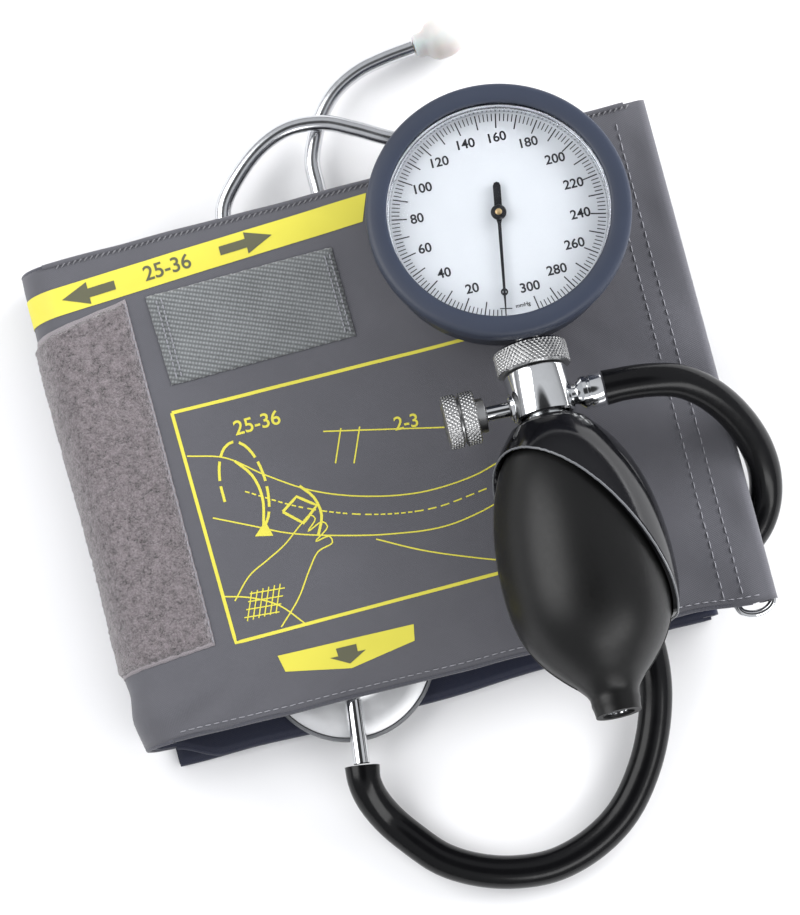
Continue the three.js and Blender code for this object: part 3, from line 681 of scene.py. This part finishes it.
def cover(name, corners, mat, slot, lift, nodes=(), step=1.2, rough=0.0, ragged=0.0, thick=0.0):
    """A patch between four (u, y) corners, low-left first and anticlockwise, that follows the cloth."""
    a, b, c, d = (Vector(p) for p in corners)
    across = max(4, round((b - a).length / step))
    down = max(4, round((d - a).length / step))

    def point(i, j):
        s, t = j / across, i / down
        p = (a * (1 - s) + b * s) * (1 - t) + (d * (1 - s) + c * s) * t
        rim = min(s, 1 - s) * across * step, min(t, 1 - t) * down * step
        near = ease(1 - min(rim) / 1.5)
        drift = [noise.noise(Vector((p.x, p.y, layer)) * 1.7) for layer in (5, 11)]
        p = p + near * ragged * Vector(drift)
        tuft = noise.noise(Vector((p.x, p.y, 2)) * 1.1) + 0.6 * noise.noise(Vector((p.x, p.y, 7)) * 2.7)
        return unrolled(p.x, p.y, lift + rough * tuft - near * (lift - 0.1) * (0.75 if thick else 0))

    obj = piece(name, *grid(down + 1, across + 1, point), mat, "cuff", slot, nodes, sharp=80)
    if thick:
        middle = obj.data.polygons[len(obj.data.polygons) // 2]
        thicken(obj, thick, -1 if middle.normal.z > 0 else 1)


def make_patches():
    hook = [(-67.6, -46), (-67.2, 56.6), (-101.5, 51.4), (-100.5, -48.4)]
    base = [(-66.6, -47), (-66.2, 57.6), (-103, 52.4), (-102, -49.4)]
    cover("hook_patch_base", base, "selvedge", "hook_fabric", 0.45, (), 1.2, 0.05, 0.2, 0.4)
    cover("hook_pile", hook, "fuzz", "hook_fabric", 1.2, ["hook_patch"], 0.7, 0.36, 0.35, 0.8)
    band = [(-59.6, 29.6), (-4.0, 29.7), (-4.2, 56.9), (-60.4, 56.7)]
    cover("webbing_patch", band, "webbing", "webbing", 1.05, ["gauge_holder_band"], 0.8, 0.06, 0.25, 0.9)
    for name, x in (("left", -57.6), ("right", -6.8)):
        for k in (0, 1.5):
            path = along([(x + k, 31.2), (x + k, 55.4)], 3, 1.25)
            stitches(f"webbing_seam_{name}_{'a' if k else 'b'}", path, 1.7, 1.3, 0.22, slot="webbing")
    rim = [(-67, -46.4), (-66.6, 57)]
    stitches("hook_patch_seam", along(rim, 3, 0.55), 2.4, 1.8, 0.17)


# ---- prints: thin ink that lies on the cloth ----
INK = 0.09


def stroke(points, width, step=1.8, dashes=None):
    """A flat line of ink through (u, y) points; dashes is (drawn, left out)."""
    run = [Vector(points[0])]
    for a, b in zip(points, points[1:]):
        a, b = Vector(a), Vector(b)
        count = max(1, ceil((b - a).length / step))
        run += [a + (b - a) * (i + 1) / count for i in range(count)]
    sides = []
    for i, p in enumerate(run):
        ahead = (run[min(i + 1, len(run) - 1)] - run[max(i - 1, 0)]).normalized()
        aside = Vector((-ahead.y, ahead.x)) * width / 2
        sides.append((unrolled(*(p - aside), INK), unrolled(*(p + aside), INK)))
    verts = [v for pair in sides for v in pair]
    faces = []
    for i in range(len(run) - 1):
        if dashes is None or (i % sum(dashes)) < dashes[0]:
            faces.append((2 * i, 2 * i + 1, 2 * i + 3, 2 * i + 2))
    used = sorted({v for f in faces for v in f})
    place = {v: k for k, v in enumerate(used)}
    return [verts[v] for v in used], [tuple(place[v] for v in f) for f in faces]


def filled(outline, lift=INK):
    """A filled flat shape from (u, y) corners, cut fine enough to follow the cloth."""
    bm = bmesh.new()
    bm.faces.new([bm.verts.new((u, y, 0)) for u, y in outline])
    bmesh.ops.triangulate(bm, faces=bm.faces)
    for _ in range(5):
        long = [e for e in bm.edges if e.calc_length() > 4]
        if long:
            bmesh.ops.subdivide_edges(bm, edges=long, cuts=1, use_grid_fill=False)
            bmesh.ops.triangulate(bm, faces=bm.faces)
    bm.verts.index_update()
    verts = [unrolled(v.co.x, v.co.y, lift) for v in bm.verts]
    faces = [tuple(v.index for v in f.verts) for f in bm.faces]
    bm.free()
    return verts, faces


def lettering(text, size, u, y, turn, lift=INK, weight=0.012):
    """Generic figures as filled shapes on the cloth, centred on (u, y)."""
    curve = bpy.data.curves.new("figures", "FONT")
    curve.body = text
    curve.size = size
    curve.offset = weight * size
    curve.align_x = "CENTER"
    curve.align_y = "CENTER"
    obj = linked("figures", curve)
    bpy.context.view_layer.update()
    mesh = bpy.data.meshes.new_from_object(obj.evaluated_get(bpy.context.evaluated_depsgraph_get()))
    bpy.data.objects.remove(obj)
    flat = set_down([v.co for v in mesh.vertices], turn, (u, y, 0))
    shape = [unrolled(p[0], p[1], lift) for p in flat] if lift is not None else flat
    faces = [tuple(f.vertices) for f in mesh.polygons]
    bpy.data.meshes.remove(mesh)
    return shape, faces


def curve_points(points, step=2.0):
    return [(p.x, p.y) for p in smooth_path([(*q, 0) for q in points], step)]


def ink(name, mat, *shapes):
    return piece(name, *merged(*shapes), mat, "cuff", "outer_fabric", sharp=180)


def make_prints():
    band = [(-102, 57.2), (6.6, 61.8), (9.8, 69.9), (-102, 65.4)]
    cover("size_band", band, "print", "outer_fabric", 2 * INK, step=1.1)
    left = [(-84, 62.2), (-76, 58.9), (-76, 60.9), (-68, 61.2), (-68, 63.9), (-76, 63.6), (-76, 65.6)]
    right = [(-20, 65), (-28, 61.3), (-28, 63.2), (-36, 62.9), (-36, 65.6), (-28, 65.9), (-28, 67.9)]
    ink("size_figures", "ink_dark", lettering("25-36", 6.2, -52, 63.4, 0.04, 3 * INK),
        filled(left, 3 * INK), filled(right, 3 * INK))
    frame_line = [(-61.6, 21.8), (43, 20.1), (40, -48.3), (-60.8, -47.8), (-61.6, 21.8)]
    marker = [(-50.2, -54.6), (-10, -56), (-11, -60.7), (-30.5, -63.6), (-49.2, -59.6)]
    ink("panel_frame", "print", stroke(frame_line, 1.0))
    ink("artery_marker", "print", filled(marker))
    down = [(-33.5, -57), (-27.5, -57.2), (-27.6, -59.4), (-25.2, -59.5), (-30.6, -62.2), (-35.8, -59.2),
            (-33.4, -59.3)]
    ink("artery_arrow", "ink_dark", filled(down, 2 * INK))
    make_diagram()


def make_diagram():
    """A generic drawing: an arm with a wrapped band, the other hand on its tab, and width marks."""
    thin, thick = 0.42, 0.8
    upper = curve_points([(-60.6, 8.4), (-50, 5), (-40, -3), (-28, -11), (-14, -16.5), (2, -19.6),
                          (18, -19), (26, -17)])
    lower = curve_points([(-58, -11), (-48, -16), (-38, -21), (-26, -25), (-10, -29), (6, -31),
                          (20, -29), (27, -26.5)])
    middle = curve_points([(-47, -6), (-32, -15), (-14, -22), (4, -25), (22, -23.4)], 1.3)
    band_far = curve_points([(-47.6, 3.4), (-43.8, -2), (-42.6, -9), (-44.6, -18)])
    band_near = curve_points([(-31.4, -8.6), (-28.2, -13), (-27.4, -18.6), (-29.8, -23.8)])
    turning = curve_points([(-47 + 6.5 * cos(a), -5 + 14 * sin(a)) for a in
                            [radians(d) for d in range(-70, 216, 26)]], 1.6)
    fingers = [(26, -17), (30, -13.6), (34.6, -13.4), (35.4, -16), (32, -17.4), (36.8, -17.6),
               (37.6, -20), (33, -21), (37.2, -22), (37, -24.6), (32.4, -24.6), (35, -26.6),
               (33.6, -28.8), (29.4, -28), (27, -26.5)]
    helper = [(-58, -36), (-52, -30), (-46, -27), (-40, -24), (-34, -19.6), (-30.6, -17.6),
              (-29.4, -19), (-32.4, -22), (-27.6, -20.4), (-26.6, -22.2), (-31, -25.4), (-26.8, -25),
              (-26.4, -27), (-31, -28.4), (-35, -33), (-40, -40), (-47, -46.8)]
    tab = [(-38, -14.6), (-33, -11.4), (-28, -15.4), (-33, -19.4)]
    forearm = curve_points([(-60.6, -34), (-54, -36), (-46, -40.6), (-40, -47.8)])
    body_line = curve_points([(-14, -29.4), (-2, -36), (12, -42), (28, -48)])
    marks = [stroke([(-15.4, 4.6), (-19.6, -5)], thin), stroke([(-10, 3.6), (-14.4, -6.4)], thin),
             stroke([(-20.6, 5), (16, -3.6)], thin)]
    hatch = [stroke([(-56 + 1.7 * k, -42.6), (-52.6 + 1.7 * k, -34.6)], 0.35) for k in range(6)]
    hatch += [stroke([(-56.6 + 1.1 * k, -41.4 + 2.1 * k), (-46.4 + 1.1 * k, -42.4 + 2.1 * k)], 0.35)
              for k in range(4)]
    figures = [lettering("25-36", 6.0, -38.5, 12.4, 0), lettering("2-3", 5.6, 3.4, 1.2, -0.07)]
    arrow = filled([(-42.4, -20.6), (-47.6, -19.4), (-43.6, -15.8)])
    ink("panel_diagram", "print", stroke(upper, thin), stroke(lower, thin),
        stroke(middle, thin, 1.3, (2, 1)), stroke(band_far, thick), stroke(band_near, thick),
        stroke(turning, thick, 2, (4, 1)), arrow,
        stroke(curve_points(fingers, 1), thin), stroke(curve_points(helper, 1.2), thin),
        stroke([*tab, tab[0]], thick), stroke(forearm, thin), stroke(body_line, thin),
        *marks, *hatch, *figures)


def make_ring():
    low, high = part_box("metal_ring")
    r = 1.2
    x0, x1 = low[0] / MM + r, high[0] / MM - r
    z0, z1 = low[2] / MM + r, high[2] / MM - r
    near, far = low[1] / MM + r, high[1] / MM - r
    mid, half = (x0 + x1) / 2, (x1 - x0) / 2
    bow = [(mid + half * cos(a), near + 3.4 + 3.4 * sin(a)) for a in
           [-pi * k / 16 for k in range(17)]]
    corner = [(mid + half * cos(a), far - 1.6 + 1.6 * sin(a)) for a in
              [pi - pi * k / 16 for k in range(17)]]
    path = [(x, y, z0 + (z1 - z0) * (x - x0) / (x1 - x0)) for x, y in [*bow, *corner]]
    piece("hem_ring", *sweep(path, r, 16, closed=True), "chrome", "cuff", "chrome", ["metal_ring"])


for make in (make_cuff_layers, make_stitching, make_patches, make_prints, make_ring):
    make()


# ---- hand unit: gauge ----
# where the valve's side ports lie, and how high the dial's print does
PORTS = (0, -54.2, 0)
INK_Z = 10.04


def gauge_piece(name, shape, mat, slot, nodes=(), body="hand_unit", **more):
    return piece(name, *shape, mat, body, slot, nodes, unit=True, **more)


def lathe(name, rows, axis, sides, mat, slot, nodes=(), body="hand_unit", sharp=35, **knurling):
    """A turned piece of the hand unit; one about X lies on the axis of the valve's side ports."""
    shape = turned(rows, axis, sides, PORTS if axis == "x" else (0, 0, 0), **knurling)
    gauge_piece(name, shape, mat, slot, nodes, body, sharp=sharp)


def dial_place(value, r):
    """Where a scale value sits on the dial at radius r, and the turn of that spoke from -Y."""
    a = radians(SCALE_GAP / 2 + SCALE_SWEEP * value / SCALE_TOP)
    return -r * sin(a), -r * cos(a), a


def bar(value, r0, r1, width, z):
    x0, y0, a = dial_place(value, r0)
    x1, y1, _ = dial_place(value, r1)
    dx, dy = cos(a) * width / 2, -sin(a) * width / 2
    corners = [(x0 - dx, y0 - dy), (x0 + dx, y0 + dy), (x1 + dx, y1 + dy), (x1 - dx, y1 - dy)]
    return [(x, y, z) for x, y in corners], [(0, 1, 2, 3)]


def flat_text(text, size, x, y, z):
    verts, faces = lettering(text, size, x, y, 0, None, 0.022)
    return [(u, v, z) for u, v, _ in verts], faces


def dial_print(name, *shapes):
    gauge_piece(name, merged(*shapes), "ink", "black_paint", sharp=180)


def make_dial():
    z = INK_Z
    plate = [(0, 10), (32.4, 10), (32.9, 9.9), (33, 9.7), (32.9, 9.45), (0, 9.4)]
    lathe("dial_face", plate, "z", 128, "dial", "dial_paint", ["dial_plate"])
    ticks = []
    for value in range(0, SCALE_TOP + 1, 2):
        long = value % 10 == 0
        ticks.append(bar(value, 30.6 - (4.4 if long else 2.3), 30.6, 0.36 if long else 0.27, z))
    dial_print("dial_ticks", *ticks)
    figures = []
    for value in range(20, SCALE_TOP + 1, 20):
        x, y, _ = dial_place(value, 23.3)
        figures.append(flat_text(str(value), 3.9, x, y, z))
    dial_print("dial_figures", *figures)
    unit_mark = flat_text("mmHg", 1.6, 0.6, -27.7, z)
    rest_bar = [(-6, -27.2, z), (-2.6, -27.9, z), (-2.6, -28.2, z), (-6, -27.5, z)], [(0, 1, 2, 3)]
    dial_print("dial_marks", unit_mark, rest_bar)
    ring = [(31, 10.3), (33, 10.3), (33, 13), (32.6, 13.3), (32.2, 13.3), (31.9, 12.9), (31.8, 12.2),
            (31.6, 12.2), (31.3, 11.9), (31.1, 11)]
    lathe("dial_trim", ring, "z", 160, "silver", "chrome", ["dial_ring"])


def make_needle():
    half = [(0.12, 30.6), (0.32, 25), (0.36, 24.7), (0.45, 11), (0.5, 3.2), (0.8, 2), (1.1, 0),
            (1.1, -8.2), (0.75, -9.1), (0, -9.4)]
    outline = [(x, -y) for x, y in half] + [(-x, -y) for x, y in reversed(half[:-1])]
    turn = radians(-SCALE_GAP / 2)
    count = len(outline)
    verts = set_down([(x, y, z) for z in (11.4, 11.8) for x, y in outline], turn)
    faces = [tuple(range(count - 1, -1, -1)), tuple(range(count, 2 * count))]
    faces += [(k, (k + 1) % count, (k + 1) % count + count, k + count) for k in range(count)]
    eye, eye_faces = turned([(0.55, 11.42), (1.05, 11.42), (1.05, 11.78), (0.55, 11.78)], sides=32)
    eye = set_down([(x, y - 23.6, z) for x, y, z in eye], turn)
    blade = merged((verts, faces), (eye, eye_faces))
    gauge_piece("needle_blade", blade, "needle", "black_paint", ["needle"], "needle")
    cap = [(0, 11.9), (2.1, 11.9), (2.25, 12.1), (2.25, 12.6), (2.0, 12.85), (1.1, 12.9), (1.05, 12.8),
           (0, 12.8)]
    lathe("needle_cap", cap, "z", 48, "needle", "brass", ["needle_hub"], "needle")
    pin = [(0, 12.8), (0.95, 12.8), (0.95, 13), (0.7, 13.1), (0, 13.1)]
    lathe("needle_pin", pin, "z", 32, "brass", "brass", body="needle")


def make_case():
    shell = [(0, -8), (4.5, -8), (4.8, -7.7), (5.6, -7.7), (5.9, -8), (28, -8), (31.5, -7.4),
             (34, -5.8), (35.1, -3.2), (35.1, 14.2), (34.9, 14.5), (34.4, 14.5), (34.3, 13.4),
             (33.5, 13.4), (33.5, -2.8), (32.8, -4.6), (30.8, -6.1), (27.6, -6.4), (0, -6.4)]
    lathe("gauge_shell", shell, "z", 160, "case", "gauge_shell", ["gauge_case"])
    guard = [(35.4, 10.95), (37.4, 10.9), (37.9, 11.3), (38, 12), (38, 14.9), (37.85, 15.6),
             (37.3, 16.2), (36.4, 16.5), (34.4, 16.6), (32.8, 16.5), (32.2, 16.3), (32, 16),
             (32, 15.6), (32.2, 15.35), (34.9, 15.35), (35.4, 15)]
    lathe("gauge_ring_guard", guard, "z", 160, "bumper", "bumper_rubber", ["gauge_bumper"], sharp=50)
    glass = [(0, 15), (33.5, 15), (33.9, 14.8), (34, 14.5), (34, 14), (33.8, 13.75), (0, 13.7)]
    lathe("gauge_glass", glass, "z", 128, "lens", "clear_lens", ["gauge_lens"])


# ---- hand unit: valve, knob and nozzle ----
def make_valve():
    stem = [(0, -29), (3.8, -29), (3.8, -44), (0, -44)]
    lathe("stem_tube", stem, "y", 48, "chrome", "chrome", ["gauge_stem"])
    fine, top, low = 10.6, -38.3, -44.3
    rows = [(6.5, -37.4), (9.2, -37.4), (9.5, -37.5), (fine - 0.15, top)]
    rows += [(fine, top - (top - low) * k / 36, 0.55) for k in range(37)]
    rows += [(fine - 0.35, low - 0.1), (9.9, -44.7), (9.2, -44.8), (6.5, -44.8)]
    lathe("collar_nut", rows, "y", 420, "knurl", "chrome", ["knurled_collar"], "collar", 60,
          knurls=50, pitch=1.5)
    body = [(0, -44.3), (5.6, -44.3), (5.6, -45.1), (8.6, -45.1), (9.05, -45.4), (9.2, -45.9),
            (9.2, -57.6), (9, -58.5), (8.4, -59), (6, -59), (6, -70), (0, -70)]
    lathe("valve_block", body, "y", 128, "chrome", "chrome", ["valve_body"])
    flare = [(2.5, -9.7), (3.6, -9.7), (4.2, -9.2), (4.4, -8.4), (2.5, -8)]
    lathe("valve_flare", flare, "x", 64, "chrome", "chrome")
    seal = [(0, -2.3), (1.9, -2.3), (2.2, -2), (2.0, -0.9), (1.2, -0.4), (0, -0.4)]
    lathe("seal_tip", seal, "x", 32, "rubber", "black_rubber", ["valve_seal"], "release_carriage")


def make_knob():
    outer, chamfer = 7.7, 0.3

    def disc(high, low):
        rows = [(outer - 0.45, high), (outer - 0.1, high - chamfer)]
        rows += [(outer, high - chamfer + (low + 0.6 - high) * k / 16, 0.5) for k in range(17)]
        return [*rows, (outer - 0.1, low + chamfer), (outer - 0.45, low)]

    near = disc(-19, -23.5)
    far = disc(-24.1, -28.4)
    rows = [(0, -16.6), (4.7, -16.6), (5, -16.9), (5, -18.8), (5.3, -19), *near, (6.4, -23.6),
            (6.4, -24), *far, (5.4, -28.5), (5.1, -28.2), (0, -28.2)]
    lathe("release_wheel", rows, "x", 300, "knurl", "chrome", ["release_knob"], "release_knob", 60,
          knurls=34, pitch=1.5)
    rod = [(0, -16.3), (2.0, -16.3), (2.2, -16.1), (2.2, -3), (1.9, -2.6), (0, -2.6)]
    lathe("release_rod", rod, "x", 40, "chrome", "chrome", ["release_spindle"], "release_knob")


def make_nozzle():
    rows = [(1.6, 4.5), (3, 4.5), (3, 9.6), (3.4, 10.6), (4.4, 11.4), (4.9, 11.9), (4.9, 13),
            (4.55, 13.3), (4.55, 13.8), (4.9, 14.1), (4.9, 17.2), (4.7, 17.6), (1.6, 17.6)]
    lathe("hose_spigot", rows, "x", 96, "chrome", "chrome", ["hose_nozzle"])


# ---- hand unit: bulb and guard ----
BULB = [(-61.2, 8.6), (-64.5, 11.4), (-70, 15.4), (-78, 19.2), (-88, 22), (-98, 23.3), (-107, 23.5),
        (-115, 22.9), (-122.5, 21), (-129, 17.6), (-134.5, 13), (-138.5, 9), (-141.5, 7), (-147, 6.5)]
BULB_TOP = BULB[0][0]
BULB_CURVE = [(p.x, p.y) for p in smooth_path([(y, r, 0) for y, r in BULB], 1.2)]


def bulb_radius(y):
    for (y0, r0), (y1, r1) in zip(BULB_CURVE, BULB_CURVE[1:]):
        if y0 >= y >= y1:
            return r0 + (r1 - r0) * (y0 - y) / (y0 - y1)
    return BULB_CURVE[-1][1]


def make_bulb():
    outer = [(r, y) for y, r in BULB_CURVE]
    beads = [(r + 0.35 * exp(-((y + 143.5) / 1.2) ** 2), y) for r, y in outer]
    inner = [(max(4.6, r - 2), y) for r, y in reversed(outer)]
    inner = [(6.4, y) if y > -71 else (r, y) for r, y in inner]
    lathe("squeeze_bulb", [*beads, *inner], "y", 128, "rubber", "black_rubber", ["bulb"], sharp=50)
    seams = []
    for side in (-1, 1):
        path = [(side * (r + 0.02), y, 0) for y, r in BULB_CURVE if -138 < y < -66]
        seams.append(sweep([Vector(p) for p in path], 0.22, 8))
    gauge_piece("bulb_seam", merged(*seams), "rubber", "black_rubber")
    tail = [(0, -138.6), (4.3, -138.6), (4.3, -146.2), (3.9, -146.4), (2.5, -146.4), (2.3, -145.2),
            (1.2, -145), (0, -145)]
    lathe("intake_fitting", tail, "y", 64, "chrome", "chrome", ["intake_valve_body"])


GUARD_TOP, GUARD_LOW, GUARD_WALL, GUARD_GAP = -59.9, -122.5, 2.2, 0.6
# the guard is cut off below the plane y + SLANT_X * x - SLANT_Z * z = SLANT_AT
SLANT_X, SLANT_Z, SLANT_AT = 1.265, 0.88, -94.2
SHOULDER_R = 10.8


def guard_end(a):
    """The guard's lower edge at an angle round the bulb, where its slanted cut or its hem ends it."""
    y = GUARD_TOP
    while y > GUARD_LOW:
        r = bulb_radius(y) + GUARD_WALL if y < BULB_TOP else SHOULDER_R
        if y + SLANT_X * r * sin(a) - SLANT_Z * r * cos(a) <= SLANT_AT:
            break
        y -= 0.25
    return max(y, GUARD_LOW)


def guard_row(a, t, grow):
    y = GUARD_TOP + (guard_end(a) - GUARD_TOP) * t
    r = bulb_radius(min(y, BULB_TOP)) + grow
    return r * sin(a), y, r * cos(a)


def make_guard():
    down, round_count = 56, 180
    walls = [GUARD_WALL] * (down + 1) + [GUARD_GAP] * (down + 1)
    places = [k / down for k in range(down + 1)]
    places += places[::-1]
    walls.append(GUARD_WALL)
    places.append(0)

    def point(i, j):
        t = places[i]
        grow = walls[i] - (0.35 if walls[i] > 1 and t in (0, 1) else 0)
        return guard_row(tau * j / round_count, t, grow)

    shell = grid(len(walls), round_count, point, True)
    gauge_piece("hand_shield", shell, "guard", "guard_plastic", ["hand_guard"], sharp=50)
    # a bead along the guard's cut edge; its lighter grey is a painted highlight of the edge's reflection
    lip = [Vector(guard_row(tau * k / 220, 1, 1.9)) for k in range(220)]
    gauge_piece("shield_lip_highlight", sweep(lip, 0.34, 10, closed=True), "guard_edge", "guard_plastic")


for make in (make_dial, make_needle, make_case, make_valve, make_knob, make_nozzle, make_bulb,
             make_guard):
    make()


# ---- stethoscope ----
CHEST_X, CHEST_Y, CHEST_TURN = -30.6, -58.2, radians(-7.5)


def chest_piece(name, rows, sides, mat, slot, node, axis="z", height=0):
    verts, faces = turned(rows, axis, sides, (0, 0, height))
    piece(name, set_down(verts, CHEST_TURN, (CHEST_X, CHEST_Y, 0)), faces, mat, "cuff", slot, [node])


def make_chestpiece():
    body = [(0, 7.2), (23, 7.2), (23.5, 7.4), (24.2, 8), (24.4, 8.4), (24.4, 9.2), (24.1, 9.5),
            (20, 10.4), (15, 10.8), (13.6, 11), (13.1, 11.4), (12.8, 12.2), (12.4, 15), (12.1, 15.4),
            (11.6, 15.6), (9.6, 15.6), (9.3, 15.3), (0, 15.3)]
    chest_piece("chestpiece_shell", body, 128, "chest", "chest_metal", "chestpiece_body")
    film = [(0, 6.15), (22.5, 6.15), (22.6, 6.4), (22.5, 6.65), (0, 6.65)]
    chest_piece("diaphragm_disc", film, 96, "film", "diaphragm_film", "diaphragm")
    rim = [(22.9, 5.6), (23.2, 5.4), (24.8, 5.4), (25.4, 5.7), (25.6, 6.3), (25.6, 8.4), (25.3, 9),
           (24.8, 9.2), (24.6, 9), (24.6, 7), (22.9, 7)]
    chest_piece("diaphragm_rim", rim, 128, "rim", "grey_rim", "diaphragm_ring")
    stem = [(0, -32.6), (2.1, -32.6), (2.45, -32.3), (2.45, -14), (0, -14)]
    chest_piece("chestpiece_spout", stem, 40, "chrome", "chrome", "chestpiece_stem", "y", 12.7)


EAR_LEFT_ROUTE = [
    (-14.6, 38.5, 11.8), (-16.5, 43, 11.9), (-21.6, 51, 12.6), (-28, 61.5, 13.2), (-32.6, 70.5, 13.3),
    (-31.6, 78, 13.3), (-25, 86.2, 13.4), (-15.8, 93.2, 13.4), (-6.9, 96.2, 13.4), (3.4, 95.2, 13.4),
    (12, 91, 13.4), (21.2, 85.6, 13.2), (30, 82, 12.9), (38, 81, 12.5),
]
EAR_RIGHT_ROUTE = [
    (-9.2, 38.5, 9.1), (-8.4, 42, 9.1), (-6, 52, 8.2), (-3.8, 64, 7.7), (-3, 77, 7.6), (-2.6, 85.6, 7.6),
    (-0.2, 92, 7.6), (3.9, 99, 7.6), (9.7, 104.9, 7.4), (17.7, 109, 7.1), (26.3, 110.9, 6.8),
    (35.4, 111.9, 6.6),
]
TIP = [(1.2, 0), (2.9, 0.2), (3.5, 0.8), (3.6, 1.4), (3.7, 3.2), (4.2, 3.9), (5.4, 5), (6.1, 6.4),
       (6.2, 8), (6.1, 9.8), (5.8, 11.4), (5, 13.1), (4, 14.4), (2.9, 15.2), (1.6, 15.6), (1.2, 15.4)]


def make_headset():
    low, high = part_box("y_connector")
    x0, y0, z0 = (c / MM for c in low)
    x1, y1, z1 = (c / MM for c in high)
    mid_x, mid_z = (x0 + x1) / 2, (z0 + z1) / 2
    path = smooth_path([(mid_x, y, mid_z) for y in (y0 + 0.1, (y0 + y1) / 2, y1 - 0.1)])
    verts, faces = sweep(path, lambda t: 4.5 + 2.4 * ease(1.3 * t - 0.1), 32)
    verts = [(x, y, mid_z + max(-4.7, min(4.7, z - mid_z))) for x, y, z in verts]
    piece("y_yoke", verts, faces, "hose", "cuff", "black_rubber", ["y_connector"], sharp=50)
    tubes = (
        ("left", EAR_LEFT_ROUTE, (38.3, 81, 12.5), -4),
        ("right", EAR_RIGHT_ROUTE, (35.7, 111.95, 6.6), 4),
    )
    for side, route, at, degrees in tubes:
        body = f"ear_{side}"
        tube = sweep(smooth_path(route, 1.2), 2.35, 20)
        piece(f"ear_spring_{side}", *tube, "tube_metal", body, "chrome", [f"ear_tube_{side}"])
        verts, faces = turned(TIP, "x", 56)
        verts = set_down(verts, radians(degrees), at)
        piece(f"ear_bud_{side}", verts, faces, "tip", body, "ear_tip_plastic", [f"ear_tip_{side}"])


make_chestpiece()
make_headset()


# ---- CAD nodes that keep their shape ----
KEPT = {
    "rubber": ["bladder", "bladder_port"],
    "brass": ["aneroid_capsule", "capsule_inlet", "capsule_pin", "movement_plate", "movement_bridge",
              "hairspring", "sector_gear", "needle_arbor", "outlet_valve_cage", "outlet_valve_disc"],
    "chrome": ["intake_valve_ball", "movement_pillar_1", "movement_pillar_2", "movement_pillar_3"],
}
for key, names in KEPT.items():
    for name in names:
        kept = frame["nodes"][name]
        kept.data.materials.clear()
        kept.data.materials.append(M[key])


# ---- floor, world and lights ----
def make_floor():
    mesh = bpy.data.meshes.new("floor")
    mesh.from_pydata([(-3, -3, 0), (3, -3, 0), (3, 3, 0), (-3, 3, 0)], [], [(0, 1, 2, 3)])
    mesh.materials.append(Nodes("pale_floor", (0.86, 0.86, 0.87), 0.9).mat)
    linked("floor", mesh)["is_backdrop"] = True


def make_light(name, place, size, watts, glossy=True):
    """A lamp panel aimed just above the cuff's middle; glossy says if reflections show it."""
    data = bpy.data.lights.new(name, "AREA")
    data.shape = "RECTANGLE"
    data.size, data.size_y = size
    data.energy = watts
    lamp = linked(name, data)
    lamp.location = place
    lamp.visible_glossy = glossy
    lamp.rotation_euler = (Vector((0, 0, 0.02)) - Vector(place)).to_track_quat("-Z", "Y").to_euler()


def make_world():
    """A dim room: dark overhead for the chrome's dark band, lighter at the sides as soft fill."""
    world = bpy.data.worlds.new("studio")
    world.use_nodes = True
    tree = world.node_tree
    background = tree.nodes["Background"]
    coords = tree.nodes.new("ShaderNodeTexCoord")
    split = tree.nodes.new("ShaderNodeSeparateXYZ")
    ramp = tree.nodes.new("ShaderNodeValToRGB")
    tree.links.new(coords.outputs["Generated"], split.inputs[0])
    tree.links.new(split.outputs["Z"], ramp.inputs["Fac"])
    tree.links.new(ramp.outputs["Color"], background.inputs["Color"])
    stops = ((0.0, 0.2), (0.3, 0.5), (0.9, 0.6), (0.955, 0.05), (1.0, 0.03))
    fill_ramp(ramp, [(place, (value, value * 1.02, value * 1.06)) for place, value in stops])
    bpy.context.scene.world = world
    bpy.context.scene.view_settings.view_transform = "Standard"


make_floor()
make_light("left_panel", (-0.62, 0.3, 0.62), (1.0, 0.7), 8)
make_light("right_panel", (0.88, 0.25, 0.34), (1.0, 0.6), 19, glossy=False)
make_light("front_fill", (0.3, -0.75, 0.6), (0.9, 0.3), 4)
make_world()

low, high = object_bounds()
sizes = {"cad": [list(corner) for corner in CAD_BOX], "visual": [list(low), list(high)]}
